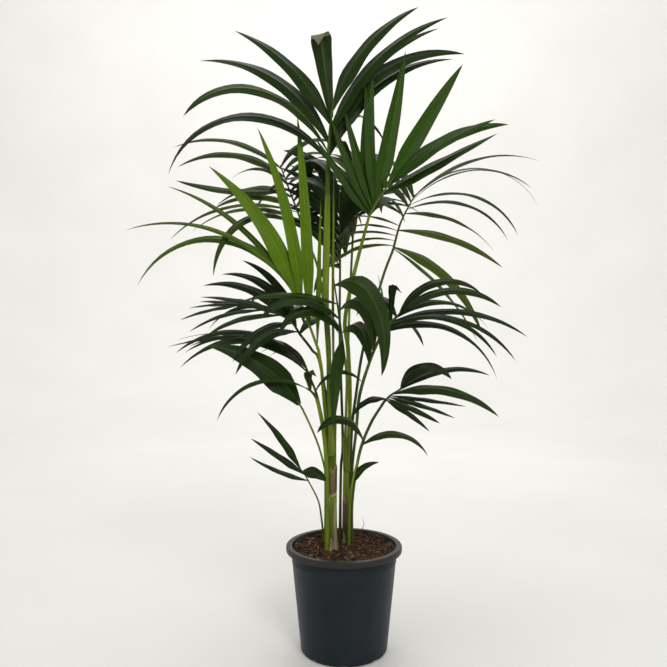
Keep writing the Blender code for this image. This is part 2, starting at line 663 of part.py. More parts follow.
def add_frond(frond, leaflets):
    """A frond's blade: its rachis with the leaflets fused on."""
    name = "frond_" + frond.name
    core = solid_mesh(name, *loft_faces(rachis_rings(frond)))
    blades = [solid_mesh(name, *loft_faces(*blade_rings(leaflet, root)))
              for root, leaflet in leaflets]
    return fuse(name, frond.colour, core, blades)


def turned_solid(name, profile, sides):
    """A closed solid turned round Z from a profile of (radius, height) points."""
    bm = bmesh.new()
    verts = [bm.verts.new((r, 0.0, z)) for r, z in profile]
    edges = [bm.edges.new(pair) for pair in zip(verts, verts[1:])]
    bmesh.ops.spin(bm, geom=verts + edges, cent=(0, 0, 0), axis=(0, 0, 1),
                   angle=2 * math.pi, steps=sides, use_merge=True)
    bmesh.ops.remove_doubles(bm, verts=bm.verts, dist=1e-5)
    bmesh.ops.recalc_face_normals(bm, faces=bm.faces)
    mesh = bpy.data.meshes.new(name)
    bm.to_mesh(mesh)
    bm.free()
    return mesh


def wall_radius(height):
    """Outer radius of the pot's wall at a height below the rim."""
    return FOOT_RADIUS + (NECK_RADIUS - FOOT_RADIUS) * height / (POT_HEIGHT - RIM_HEIGHT)


def add_notch_cutter():
    """Blocks round the pot's foot that cut its drain notches."""
    bm = bmesh.new()
    for k in range(NOTCH_COUNT):
        angle = 2 * math.pi * (k + 0.5) / NOTCH_COUNT + math.pi / NOTCH_COUNT
        place = Matrix.Rotation(angle, 4, "Z") @ Matrix.Translation((0, -FOOT_RADIUS, 0))
        bmesh.ops.create_cube(bm, size=1.0, matrix=place @ Matrix.Diagonal((*NOTCH_SIZE, 1)))
    mesh = bpy.data.meshes.new("notch_cutter")
    bm.to_mesh(mesh)
    bm.free()
    cutter = add_object("notch_cutter", mesh, "pot")
    cutter.hide_render = True
    cutter.display_type = "WIRE"
    return cutter


def add_pot():
    """The nursery pot: tapered wall, rolled rim, flat underside and notches at its foot."""
    rim_foot = POT_HEIGHT - RIM_HEIGHT
    floor = NOTCH_SIZE[2] / 2 + POT_WALL
    inner_floor = wall_radius(floor) - POT_WALL
    profile = [
        (0.0, 0.0),
        (FOOT_RADIUS - FOOT_ROUND, 0.0),
        (FOOT_RADIUS - 0.3 * FOOT_ROUND, 0.3 * FOOT_ROUND),
        (wall_radius(FOOT_ROUND), FOOT_ROUND),
        (NECK_RADIUS, rim_foot),
        (RIM_RADIUS - RIM_ROLL, rim_foot),
        (RIM_RADIUS, rim_foot + RIM_ROLL),
        (RIM_RADIUS, POT_HEIGHT - RIM_ROLL),
        (RIM_RADIUS - RIM_ROLL, POT_HEIGHT),
        (NECK_RADIUS, POT_HEIGHT),
        (NECK_RADIUS - POT_WALL, POT_HEIGHT - RIM_ROLL),
        (NECK_RADIUS - POT_WALL, rim_foot),
        (inner_floor, floor),
        (0.0, floor),
    ]
    mesh = turned_solid("pot", profile, POT_SIDES)
    mesh.shade_smooth()
    mesh.set_sharp_from_angle(angle=math.radians(40))
    pot = add_object("pot", mesh, "pot")
    cut = pot.modifiers.new("notches", "BOOLEAN")
    cut.operation = "DIFFERENCE"
    cut.object = add_notch_cutter()
    cut.solver = "EXACT"
    return pot


def add_soil():
    """The mix that fills the pot, level in the middle and a little lower at the wall."""
    floor = NOTCH_SIZE[2] / 2 + POT_WALL + GAP
    inset = POT_WALL + 2 * GAP
    edge = SOIL_TOP - SOIL_EDGE_DROP
    profile = [
        (0.0, floor),
        (wall_radius(floor) - inset, floor),
        (wall_radius(edge) - inset, edge),
        (SOIL_LEVEL_RADIUS, SOIL_TOP),
        (0.0, SOIL_TOP),
    ]
    return add_object("soil", turned_solid("soil", profile, SOIL_SIDES), "soil")


def main():
    """Builds the palm."""
    clear_scene()
    add_pot()
    add_soil()
    for name, points in STEMS:
        add_stalk(name, stalk_rings(points, STEM_SIDES, STALK_STEPS, UP), "stem")
    add_stalk("spear", stalk_rings(SPEAR, STALK_SIDES, STALK_STEPS, UP), "mid")
    for frond in FRONDS:
        add_stalk("petiole_" + frond.name, petiole_rings(frond), "petiole")
    for frond, leaflets in zip(FRONDS, grown_leaflets().values()):
        add_frond(frond, leaflets)


main()
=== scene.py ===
"""Looks of a potted kentia palm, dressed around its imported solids.

Metres, +Z up. The origin is the centre of the pot's flat underside, and the plant is seen along
+Y. The fronds grow by the same rule as the solids, carried to finer leaflets within their reach.
"""
import logging
import math
import random
from dataclasses import dataclass, replace
from enum import Enum
from typing import Callable, Iterator, Optional, Sequence

import bmesh
import bpy
from mathutils import Matrix, Vector
from mathutils.bvhtree import BVHTree


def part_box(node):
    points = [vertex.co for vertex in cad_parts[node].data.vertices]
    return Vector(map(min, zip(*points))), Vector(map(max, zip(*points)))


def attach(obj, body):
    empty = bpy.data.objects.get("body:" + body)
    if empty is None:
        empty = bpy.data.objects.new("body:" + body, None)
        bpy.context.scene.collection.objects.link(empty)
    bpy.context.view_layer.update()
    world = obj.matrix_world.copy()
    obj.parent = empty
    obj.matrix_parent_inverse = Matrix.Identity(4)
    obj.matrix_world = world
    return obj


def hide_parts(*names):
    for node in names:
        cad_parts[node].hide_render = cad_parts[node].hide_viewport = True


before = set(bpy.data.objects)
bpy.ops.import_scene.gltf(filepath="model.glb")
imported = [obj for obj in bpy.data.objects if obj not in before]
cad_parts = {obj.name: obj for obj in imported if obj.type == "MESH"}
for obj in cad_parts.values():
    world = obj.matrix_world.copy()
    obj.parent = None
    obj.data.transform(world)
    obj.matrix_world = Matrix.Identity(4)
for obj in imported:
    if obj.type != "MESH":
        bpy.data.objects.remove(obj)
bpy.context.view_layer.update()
LOG = logging.getLogger("kentia_palm")
SOIL_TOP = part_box("soil")[1].z

Colour = tuple[float, float, float]
Row = tuple[float, float, float, float]
Place = tuple[float, float]
Spot = tuple[float, float, float]
Ring = list[Vector]
Face = tuple[int, ...]
Solid = tuple[list[Vector], list[Face]]
Section = Callable[[float, float, Vector], float]

UP = Vector((0.0, 0.0, 1.0))
GAP = 0.0003

# The rule that places the leaflets, which the solids follow too. Shares are of a leaflet's length
RINGS = (0.0, 0.15, 0.38, 0.62, 0.84)
FOLDED_RINGS = (0.0, 0.3, 0.65, 1.0)
BEND_POWER = 1.1
THICKNESS_SHARE = 0.0115
EDGE_THICKNESS = 0.35
ROOT_SHARE = 0.16
ROOT_OPENING = 3.2
TIP_POWER = 2.5
TIP_ROUNDNESS = 0.85
FOLD_OPENING = 0.8
CENTRE_STEPS = 40
STALK_SIDES = 6
STALK_STEPS = 3
RACHIS_STEPS = 2
STEM_SIDES = 12
STALK_DEPTH = 0.8
CLEARANCE = 0.001
JITTER_DEGREES = 4.0
FALL_JITTER = 2.0
JITTER_LENGTH = 0.09
SEED = 24

# A share of a leaflet's length that lies past its tip
NEVER = 2.0

# Points of a turned piece that lie closer than this are joined
MERGE_REACH = 1e-5

# Turns tried, in degrees of heading and slope, for a leaflet that would meet a neighbour
NUDGES = ((0, 0), (5, 0), (-5, 0), (0, 5), (0, -5), (10, 0), (-10, 0), (0, 9), (0, -9),
          (15, 4), (-15, 4), (15, -6), (-15, -6), (22, 0), (-22, 0))


class Tint(Enum):
    """Colour family of a frond."""
    DEEP = "deep"
    YOUNG = "young"
    MID = "mid"
    DARK = "dark"
    OLIVE = "olive"


class Part(Enum):
    """Place of a face on a frond, which is also its material slot."""
    UPPER = 0
    UPPER_PALE = 1
    LOWER = 2
    RIB = 3
    TIP = 4
    STALK = 5
    # Faces past a leaflet's fold, which take a painted reflection
    TURNED = 6


@dataclass(frozen=True)
class Leaflet:
    """One leaflet. Heading is its way in plan, 0 along +X and 90 along +Y, in degrees.

    Rise is its slope where it leaves the rachis and fall its slope at the tip. Roll turns the
    blade about its own length, 0 lying flat. A folded one turns over by fold_turn degrees at
    fold_at of its length.
    """
    heading: float
    rise: float
    fall: float
    length: float
    width: float = 0.026
    roll: float = 0.0
    fold_at: float = 1.0
    fold_turn: float = 0.0


@dataclass(frozen=True)
class Fan:
    """Leaflets set evenly along one side of a rachis, from its low one to its high one."""
    count: int
    low: Leaflet
    high: Leaflet
    start: float = 0.1
    stop: float = 0.95


@dataclass(frozen=True)
class Frond:
    """A frond: the points (x, y, z, half width) of its stalk, and its fans.

    The stalk's last points are the rachis, which starts where the petiole ends. It may start with
    a half width of its own.
    """
    name: str
    tint: Tint
    stalk: tuple[Row, ...]
    fans: tuple[Fan, ...]
    rachis_count: int = 3
    rachis_start: Optional[float] = None

    @property
    def petiole(self) -> tuple[Row, ...]:
        """The petiole's points."""
        return self.stalk[:len(self.stalk) - self.rachis_count + 1]

    @property
    def rachis(self) -> tuple[Row, ...]:
        """The rachis's points."""
        first, *others = self.stalk[-self.rachis_count:]
        return ((*first[:3], self.rachis_start or first[3]), *others)


def lone(share: float, *values: float) -> Fan:
    """A fan of one leaflet at a share of the rachis, from the leaflet's values in order."""
    leaflet = Leaflet(*values)
    return Fan(1, leaflet, leaflet, share, share)


FRONDS = (
    Frond("top", Tint.DEEP, (
        (-0.026, -0.009, 0.4503, 0.0046), (-0.031, -0.008, 0.515, 0.0048), (-0.032, -0.014, 0.618, 0.0052),
        (-0.038, -0.02, 0.72, 0.0066), (-0.036, -0.024, 0.844, 0.0072), (-0.034, -0.028, 0.934, 0.0052),
        (-0.033, -0.034, 1.0, 0.0034), (-0.029, -0.046, 1.061, 0.0026), (-0.021, -0.066, 1.116, 0.0016),
    ), (
        lone(0.35, 189, 52, -77, 0.4, 0.034, 56), lone(0.43, 212, 57, -58, 0.365, 0.034, 58),
        lone(0.54, 160, 63, 1, 0.385, 0.036, 60), lone(0.73, 164, 63, 25, 0.305, 0.035, 64),
        lone(0.39, 14, 70, 4, 0.375, 0.034, -58), lone(0.465, 5, 74, -9, 0.38, 0.036, -60),
        lone(0.56, -14, 71, 10, 0.34, 0.036, -64), lone(0.65, 15, 66, 20, 0.345, 0.024, -60),
        lone(0.88, -9, 73, 20, 0.267, 0.038, -68),
        Fan(4, Leaflet(124, 36, -62, 0.3, 0.03, 20), Leaflet(58, 52, -50, 0.3, 0.03, -20), 0.04, 0.6),
        lone(0.8, 192, 81, 84, 0.2, 0.044, 118, 0.79, 150),
    ), rachis_count=4, rachis_start=0.005),
    Frond("young", Tint.YOUNG, (
        (-0.035, 0.003, 0.2073, 0.0036), (-0.034, 0.0, 0.33, 0.0036), (-0.0345, -0.004, 0.4315, 0.0036),
        (-0.0415, -0.01, 0.515, 0.0036), (-0.046, -0.02, 0.573, 0.0034), (-0.0523, -0.03, 0.618, 0.003),
        (-0.0795, -0.035, 0.69, 0.0024), (-0.112, -0.04, 0.75, 0.0016),
    ), (
        lone(0.36, 174, 89, 84, 0.43, 0.026, 82), lone(0.62, 186, 86, 65, 0.374, 0.028, 80),
        lone(0.78, 180, 74, 36, 0.327, 0.04, 76), lone(0.95, 164, 57, 17, 0.365, 0.014, 66),
        lone(0.97, 187, 53, -22, 0.367, 0.014, 56), lone(0.9, 176, 61, -67, 0.4, 0.024, 52),
        lone(0.06, -10, 89, 88, 0.3, 0.012, -80),
    )),
    Frond("upper_right", Tint.MID, (
        (0.0085, 0.033, 0.4003, 0.0032), (0.013, 0.029, 0.511, 0.0042), (0.0085, 0.01, 0.618, 0.0044),
        (0.002, -0.002, 0.68, 0.0042), (0.02, -0.012, 0.773, 0.004), (0.05, -0.04, 0.889, 0.0028),
        (0.067, -0.055, 0.919, 0.0024), (0.099, -0.08, 0.961, 0.0014),
    ), (
        Fan(3, Leaflet(10, 95, 87, 0.31, 0.034, -82), Leaflet(-2, 64, 60, 0.28, 0.036, -74), 0.05, 0.8),
        lone(0.65, -8, 28, 24, 0.25, 0.034, -54), lone(0.78, -34, 36, 8, 0.245, 0.032, -56),
        lone(0.92, -20, 45, -7, 0.247, 0.036, -60),
        Fan(4, Leaflet(66, 40, -44, 0.27, 0.03, -30), Leaflet(104, 60, -20, 0.25, 0.03, 20), 0.05, 0.75),
        Fan(4, Leaflet(182, 56, 60, 0.2, 0.024, 70), Leaflet(174, 86, 78, 0.23, 0.024, 72), 0.02, 0.34),
    )),
    Frond("right_back", Tint.DARK, (
        (0.012, 0.063, 0.2073, 0.0033), (0.0165, 0.06, 0.423, 0.0033), (0.027, 0.064, 0.519, 0.0032),
        (0.045, 0.078, 0.627, 0.0031), (0.086, 0.095, 0.772, 0.0029), (0.1106, 0.1, 0.838, 0.0028),
        (0.13, 0.115, 0.903, 0.0022), (0.163, 0.13, 0.967, 0.0014),
    ), (
        lone(0.02, 6, -32, -65, 0.29, 0.02, -40), lone(0.06, -40, -18, -69, 0.3, 0.026, -44),
        lone(0.34, -26, -5, -42, 0.256, 0.024, -46), lone(0.64, 9, 7, -54, 0.24, 0.022, -44),
        lone(0.72, -19, 20, -66, 0.26, 0.018, -36), lone(0.8, -27, 24, -69, 0.288, 0.016, -32),
        lone(0.87, -30, 40, -46, 0.297, 0.016, -30), lone(0.93, -10, 48, -68, 0.33, 0.015, -28),
        lone(0.98, 25, 42, -10, 0.4, 0.018, -26),
        Fan(6, Leaflet(196, 10, -60, 0.17, 0.022, 25), Leaflet(112, 62, 24, 0.19, 0.02, 25), 0.08, 0.95),
    )),
    Frond("mid_right", Tint.DARK, (
        (0.013, 0.052, 0.2073, 0.003), (0.018, 0.047, 0.358, 0.0031), (0.0265, 0.034, 0.446, 0.0032),
        (0.033, 0.016, 0.522, 0.0034), (0.054, -0.016, 0.598, 0.0032), (0.0741, -0.04, 0.649, 0.003),
        (0.0874, -0.05, 0.669, 0.0024), (0.11, -0.065, 0.693, 0.0014),
    ), (
        lone(0.1, 16, 23, -72, 0.313, 0.022, -44), lone(0.26, -27, 30, -62, 0.26, 0.017, -38),
        lone(0.42, -24, 23, -58, 0.286, 0.017, -36), lone(0.62, -3, 21, -38, 0.285, 0.022, -40),
        lone(0.84, -24, 44, -42, 0.228, 0.024, -46), lone(0.98, -13, 63, -45, 0.191, 0.025, -50),
        lone(0.72, 24, 36, -52, 0.26, 0.02, -40),
        Fan(4, Leaflet(60, 34, -52, 0.24, 0.026, -30), Leaflet(116, 44, -44, 0.21, 0.026, 20), 0.08, 0.85),
        lone(0.35, -60, 98, 112, 0.115, 0.03, -40), lone(0.6, -30, 88, 84, 0.11, 0.024, -70, 0.66, -120),
        lone(0.1, 196, 44, 62, 0.06, 0.016, 40),
    )),
    Frond("low_right", Tint.DARK, (
        (0.0165, 0.036, 0.2073, 0.0032), (0.0182, 0.032, 0.299, 0.0032), (0.032, 0.014, 0.398, 0.0032),
        (0.054, 0.0, 0.462, 0.0031), (0.0817, -0.02, 0.512, 0.0028), (0.0952, -0.03, 0.527, 0.0022),
        (0.116, -0.045, 0.542, 0.0014),
    ), (
        Fan(4, Leaflet(-34, -24, -42, 0.12, 0.018, -25), Leaflet(2, -6, -16, 0.15, 0.02, -25), 0.15, 0.45),
        lone(0.6, -18, 18, -44, 0.225, 0.03, -38), lone(0.8, 26, 30, -22, 0.245, 0.02, -30),
        lone(0.96, -6, 72, -60, 0.13, 0.032, -48), lone(0.2, 186, 12, -74, 0.088, 0.022, 30),
    )),
    Frond("mid_left", Tint.DARK, (
        (-0.024, 0.011, 0.2073, 0.0033), (-0.027, 0.012, 0.43, 0.0032), (-0.05, 0.02, 0.586, 0.003),
        (-0.067, 0.02, 0.617, 0.0029), (-0.0882, 0.02, 0.6446, 0.0028), (-0.124, 0.015, 0.687, 0.0022),
        (-0.216, 0.0, 0.713, 0.0014),
    ), (
        lone(0.2, 190, 80, 18, 0.191, 0.024, 60), lone(0.3, 164, 68, -7, 0.214, 0.024, 56),
        lone(0.4, 164, 50, -13, 0.227, 0.026, 50), lone(0.55, 188, 24, -1, 0.173, 0.02, 44),
        lone(0.36, 175, 41, -58, 0.204, 0.018, 40),
        Fan(3, Leaflet(160, 30, -6, 0.135, 0.018, 35), Leaflet(172, 6, -10, 0.12, 0.016, 30), 0.68, 0.99),
        Fan(5, Leaflet(236, 4, -62, 0.22, 0.024, 35), Leaflet(190, -4, -24, 0.14, 0.016, 28), 0.12, 0.97),
        Fan(3, Leaflet(70, 36, -48, 0.22, 0.026, -20), Leaflet(108, 40, -40, 0.22, 0.026, 20), 0.08, 0.6),
    )),
    Frond("left_back", Tint.DARK, (
        (-0.033, 0.017, 0.2073, 0.0028), (-0.036, 0.03, 0.4, 0.0028), (-0.0551, 0.05, 0.509, 0.0027),
        (-0.0751, 0.065, 0.562, 0.0026), (-0.095, 0.07, 0.605, 0.0022), (-0.128, 0.075, 0.631, 0.0014),
    ), (
        Fan(5, Leaflet(190, 52, -46, 0.3, 0.024, 35), Leaflet(178, 12, -14, 0.24, 0.016, 20), 0.06, 0.99),
        Fan(3, Leaflet(120, 34, -40, 0.2, 0.02, 20), Leaflet(150, 20, -30, 0.2, 0.016, 15), 0.15, 0.9),
    )),
    Frond("broad_left", Tint.DEEP, (
        (-0.0395, -0.006, 0.2073, 0.0019), (-0.039, -0.0095, 0.35, 0.002), (-0.042, -0.0105, 0.382, 0.002),
        (-0.0534, -0.02, 0.4244, 0.0021), (-0.0694, -0.035, 0.4666, 0.0021),
        (-0.0842, -0.045, 0.5, 0.0021), (-0.089, -0.047, 0.508, 0.0019), (-0.094, -0.049, 0.516, 0.0016),
    ), (
        lone(0.6, 188, 58, 4, 0.225, 0.062, 66), lone(0.8, 150, 60, -10, 0.15, 0.024, 30),
    )),
    Frond("front_left", Tint.DEEP, (
        (-0.0335, -0.016, 0.2073, 0.0044), (-0.0351, -0.02, 0.352, 0.0043),
        (-0.0402, -0.021, 0.434, 0.0042), (-0.0483, -0.026, 0.486, 0.0038),
        (-0.0562, -0.035, 0.521, 0.0032), (-0.065, -0.045, 0.534, 0.0026), (-0.077, -0.05, 0.543, 0.0016),
    ), (
        lone(0.85, 190, 30, -72, 0.22, 0.016, 30), lone(0.3, -28, 70, -50, 0.135, 0.024, -35),
        lone(0.6, 200, 84, 80, 0.062, 0.026, 60, 0.6, 120),
    )),
    Frond("seedling", Tint.DEEP, (
        (-0.042, 0.038, 0.2073, 0.0019), (-0.0482, 0.025, 0.268, 0.0018), (-0.0543, 0.012, 0.303, 0.0017),
        (-0.0713, -0.01, 0.3436, 0.0016), (-0.0804, -0.015, 0.361, 0.0014),
        (-0.0904, -0.02, 0.376, 0.0012),
    ), (
        Fan(3, Leaflet(192, 14, 26, 0.13, 0.014, 40), Leaflet(190, 60, 48, 0.14, 0.022, 55), 0.15, 0.95),
        lone(0.75, -12, 10, -56, 0.056, 0.028, -50),
    )),
    Frond("front_low", Tint.DEEP, (
        (0.01, 0.008, 0.2073, 0.0022), (0.0125, 0.0, 0.3, 0.0022), (0.02, -0.012, 0.36, 0.0021),
        (0.0366, -0.024, 0.4215, 0.0019), (0.0385, -0.026, 0.4265, 0.0018), (0.041, -0.029, 0.433, 0.0015),
    ), (
        lone(0.4, -8, 40, -66, 0.155, 0.022, -40), lone(0.8, 206, 86, -52, 0.14, 0.03, 40),
    )),
    Frond("foot_right", Tint.DEEP, (
        (0.007, 0.022, 0.2073, 0.0018), (0.0105, 0.018, 0.29, 0.0018), (0.0142, 0.014, 0.328, 0.0017),
        (0.015, 0.013, 0.333, 0.0016), (0.016, 0.011, 0.338, 0.0014),
    ), (
        lone(0.6, -6, 74, 0, 0.082, 0.02, -55),
    )),
    Frond("front_centre", Tint.DEEP, (
        (0.0025, 0.036, 0.4003, 0.0028), (0.0045, 0.018, 0.48, 0.003), (0.0055, -0.012, 0.56, 0.0028),
        (-0.0025, -0.032, 0.6286, 0.0024), (-0.0117, -0.045, 0.695, 0.002),
        (-0.0218, -0.055, 0.763, 0.0013),
    ), (
        Fan(3, Leaflet(202, 66, -82, 0.17, 0.038, 48),
            Leaflet(186, 20, -16, 0.195, 0.026, 35), 0.18, 0.62),
        Fan(2, Leaflet(-68, 36, -92, 0.165, 0.036, -40),
            Leaflet(-62, 34, -100, 0.225, 0.04, -44), 0.18, 0.5),
        lone(0.9, -60, 12, -114, 0.3, 0.044, -50), lone(0.08, -100, -30, -90, 0.205, 0.026, 8),
    )),
    Frond("upper_left", Tint.OLIVE, (
        (-0.022, 0.023, 0.2073, 0.0032), (-0.026, 0.036, 0.45, 0.0032), (-0.0469, 0.07, 0.747, 0.0029),
        (-0.0782, 0.09, 0.859, 0.0026), (-0.108, 0.11, 0.94, 0.0021), (-0.143, 0.13, 1.034, 0.0014),
    ), (
        lone(0.16, 218, 27, -89, 0.317, 0.022, 40), lone(0.28, 176, 27, -42, 0.263, 0.02, 40),
        lone(0.4, 196, 16, -50, 0.304, 0.018, 38), lone(0.48, 185, 27, -38, 0.195, 0.026, 44),
        lone(0.6, 164, 28, -28, 0.261, 0.024, 44), lone(0.7, 185, -5, 19, 0.253, 0.024, 46),
        lone(0.76, 167, 53, -43, 0.155, 0.018, 46), lone(0.84, 178, 39, -33, 0.263, 0.028, 48),
        lone(0.95, 170, 43, -22, 0.284, 0.02, 46),
        Fan(7, Leaflet(60, 40, -40, 0.2, 0.026, -25), Leaflet(20, 62, -46, 0.2, 0.025, -35), 0.1, 0.98),
    )),
    Frond("centre_back", Tint.DARK, (
        (-0.008, 0.045, 0.2073, 0.003), (-0.006, 0.046, 0.359, 0.003), (-0.002, 0.052, 0.424, 0.003),
        (-0.008, 0.08, 0.64, 0.0028), (-0.0073, 0.1, 0.793, 0.0025), (-0.0071, 0.12, 0.885, 0.0021),
        (-0.0092, 0.14, 0.98, 0.0014),
    ), (
        Fan(6, Leaflet(205, 56, 0, 0.17, 0.03, 50), Leaflet(150, 72, 24, 0.2, 0.03, 55), 0.05, 0.98),
        Fan(6, Leaflet(-25, 56, 0, 0.17, 0.032, -50), Leaflet(30, 72, 24, 0.21, 0.032, -55), 0.08, 0.98),
        Fan(4, Leaflet(112, 20, -60, 0.22, 0.03, 20), Leaflet(70, 40, -50, 0.22, 0.03, -20), 0.02, 0.7),
    )),
    Frond("back", Tint.OLIVE, (
        (0.0, 0.074, 0.2073, 0.0029), (0.004, 0.086, 0.42, 0.0029), (0.014, 0.128, 0.7, 0.0028),
        (0.024, 0.16, 0.9, 0.0025), (0.032, 0.178, 0.96, 0.002), (0.042, 0.2, 1.03, 0.0014),
    ), (
        Fan(6, Leaflet(158, 44, -30, 0.19, 0.026, 30), Leaflet(128, 66, 0, 0.18, 0.024, 30), 0.1, 0.98),
        Fan(6, Leaflet(24, 44, -40, 0.2, 0.026, -30), Leaflet(58, 66, -10, 0.18, 0.024, -30), 0.14, 0.96),
        Fan(4, Leaflet(106, 24, -66, 0.23, 0.03, 15), Leaflet(76, 50, -60, 0.22, 0.03, -15), 0.05, 0.9),
    )),
)

STEMS = (
    ("stem_left", ((-0.022, -0.008, 0.2073, 0.0082), (-0.0225, -0.009, 0.340, 0.0074),
                   (-0.024, -0.010, 0.450, 0.0074))),
    ("stem_right", ((0.005, 0.040, 0.2073, 0.0078), (0.005, 0.038, 0.320, 0.0070),
                    (0.006, 0.035, 0.400, 0.0068))),
)

# The folded spear, not yet open, that stands beside the top frond's petiole
SPEAR = ((-0.0188, -0.010, 0.4503, 0.0016), (-0.0215, -0.010, 0.560, 0.0022),
         (-0.0232, -0.012, 0.720, 0.0028), (-0.0222, -0.016, 0.860, 0.0024),
         (-0.0215, -0.018, 0.990, 0.0006))

# Fronds that carry a finer leaflet between each two neighbours
DENSE_FRONDS = {"centre_back", "back", "left_back", "right_back", "upper_left"}

# Shares of the rachis below which all leaflets take the pale shade, for fronds in two shades
PALE_UNTIL = {"young": 0.80, "right_back": 0.70}

# Fronds whose leaflets take another tint than their solid's
SEEN_TINTS = {"right_back": Tint.OLIVE}


# A wave texture draws about this many bands across one unit at scale 1
VEIN_WAVES = 3.2

# The sockets of a mix of colours
MIX_SHARE, MIX_ONE, MIX_OTHER, MIX_RESULT = 0, 6, 7, 2


def fill(tree: bpy.types.NodeTree, node: bpy.types.Node, inputs: dict) -> None:
    """Fills a node's inputs.

    Args:
        tree: The material's nodes.
        node: The node.
        inputs: Each input's value, or the output that it is linked to.
    """
    for key, value in inputs.items():
        if isinstance(value, bpy.types.NodeSocket):
            tree.links.new(value, node.inputs[key])
        else:
            node.inputs[key].default_value = value


def add_node(tree: bpy.types.NodeTree, kind: str, inputs: dict, **settings: str) -> bpy.types.Node:
    """Adds a node.

    Args:
        tree: The material's nodes.
        kind: The node's kind.
        inputs: What its inputs are filled with.
        settings: Its own settings.

    Returns:
        The node.
    """
    node = tree.nodes.new("ShaderNode" + kind)
    for key, value in settings.items():
        setattr(node, key, value)
    fill(tree, node, inputs)
    return node


@dataclass(frozen=True)
class Finish:
    """A surface: two shades mixed in soft patches, its gloss and its fine relief.

    Veins is the count of fine lengthwise lines across a blade, laid by the piece's UV map.
    """
    name: str
    colour: Colour
    other: Colour
    roughness: float
    patch: float = 30.0
    grain: float = 400.0
    relief: float = 0.0004
    veins: float = 0.0
    stretch: float = 1.0
    specular: float = 0.12
    roughness_spread: float = 0.07
    patch_edge: float = 0.15
    patch_detail: float = 4.0
    grain_detail: float = 2.0
    bump: float = 0.5

    def material(self) -> bpy.types.Material:
        """The finish as a material, made once.

        Returns:
            The material that carries the finish's name.
        """
        found = bpy.data.materials.get(self.name)
        if found:
            return found
        made = bpy.data.materials.new(self.name)
        made.use_nodes = True
        tree = made.node_tree
        place = add_node(tree, "TexCoord", {})
        stretched = add_node(tree, "Mapping", {
            "Vector": place.outputs["Object"], "Scale": (1.0, 1.0, self.stretch)}).outputs["Vector"]
        patches = add_node(tree, "TexNoise", {
            "Vector": stretched, "Scale": self.patch, "Detail": self.patch_detail}).outputs["Fac"]
        spread = add_node(tree, "MapRange", {
            "Value": patches, "From Min": 0.5 - self.patch_edge, "From Max": 0.5 + self.patch_edge})
        mix = add_node(tree, "Mix", {}, data_type="RGBA")
        fill(tree, mix, {MIX_SHARE: spread.outputs["Result"], MIX_ONE: (*self.colour, 1.0),
                         MIX_OTHER: (*self.other, 1.0)})
        gloss = add_node(tree, "MapRange", {
            "Value": patches, "To Min": self.roughness - self.roughness_spread,
            "To Max": self.roughness + self.roughness_spread})
        height = add_node(tree, "TexNoise", {
            "Vector": stretched, "Scale": self.grain, "Detail": self.grain_detail}).outputs["Fac"]
        if self.veins:
            lines = add_node(tree, "TexWave", {
                "Scale": self.veins / VEIN_WAVES, "Vector": place.outputs["UV"]},
                bands_direction="X")
            height = add_node(tree, "Math", {0: lines.outputs["Fac"], 1: height},
                              operation="ADD").outputs["Value"]
        bump = add_node(tree, "Bump", {
            "Strength": self.bump, "Distance": self.relief, "Height": height})
        fill(tree, tree.nodes["Principled BSDF"], {
            "Metallic": 0.0, "Specular IOR Level": self.specular, "Base Color": mix.outputs[MIX_RESULT],
            "Roughness": gloss.outputs["Result"], "Normal": bump.outputs["Normal"]})
        return made


def blend(one: Colour, other: Colour, share: float) -> Colour:
    """A colour between two others, at a share of the way from one to the other."""
    return tuple(a + (b - a) * share for a, b in zip(one, other))


# The shades of each tint: a leaflet's upper face, its pale form, its lower face and its rib
LEAF_SHADES = {
    Tint.DEEP: ((0.010, 0.026, 0.002), (0.017, 0.040, 0.003), (0.028, 0.048, 0.008),
                (0.036, 0.068, 0.007)),
    Tint.YOUNG: ((0.030, 0.066, 0.004), (0.090, 0.172, 0.003), (0.066, 0.116, 0.010),
                 (0.130, 0.230, 0.012)),
    Tint.MID: ((0.015, 0.043, 0.002), (0.026, 0.068, 0.003), (0.038, 0.070, 0.008),
               (0.052, 0.104, 0.008)),
    Tint.DARK: ((0.008, 0.019, 0.003), (0.015, 0.033, 0.004), (0.024, 0.038, 0.009),
                (0.030, 0.052, 0.008)),
    Tint.OLIVE: ((0.010, 0.024, 0.003), (0.060, 0.095, 0.006), (0.036, 0.052, 0.010),
                 (0.050, 0.080, 0.008)),
}
STALK_LIGHT = (0.10, 0.16, 0.02)
TIP_BROWN = (0.060, 0.050, 0.016)
# Pale grey-green for the part of a folded leaflet turned over past its fold: a painted reflection, much
# lighter than the leaf's own lower face
TURNED_REFLECTION_SHADES = ((0.170, 0.190, 0.130), (0.120, 0.140, 0.085))
VEINS = 14.0


def leaf_finishes(tint: Tint) -> list[Finish]:
    """The finishes of a frond, one for each Part.

    Args:
        tint: The frond's colour family.

    Returns:
        Finishes in the order of Part.
    """
    upper, pale, lower, rib = LEAF_SHADES[tint]
    name = "leaf_" + tint.value
    return [
        Finish(name + "_upper", upper, blend(upper, pale, 0.4), 0.40, 14.0, 500.0, 0.00025, VEINS),
        Finish(name + "_upper_pale", pale, blend(upper, pale, 0.7), 0.42, 10.0, 500.0, 0.00025,
               VEINS),
        Finish(name + "_lower", lower, pale, 0.58, 18.0, 500.0, 0.00020, VEINS),
        Finish(name + "_rib", rib, pale, 0.45, 40.0, 700.0, 0.00010),
        Finish(name + "_tip", TIP_BROWN, pale, 0.60, 60.0, 500.0, 0.00020),
        Finish(name + "_stalk", blend(rib, STALK_LIGHT, 0.5), rib, 0.42, 30.0, 900.0, 0.00012),
        # The turned-over part takes the painted reflection
        Finish(name + "_turned_painted_reflection", *TURNED_REFLECTION_SHADES, 0.60, 18.0, 500.0, 0.00020, VEINS),
    ]


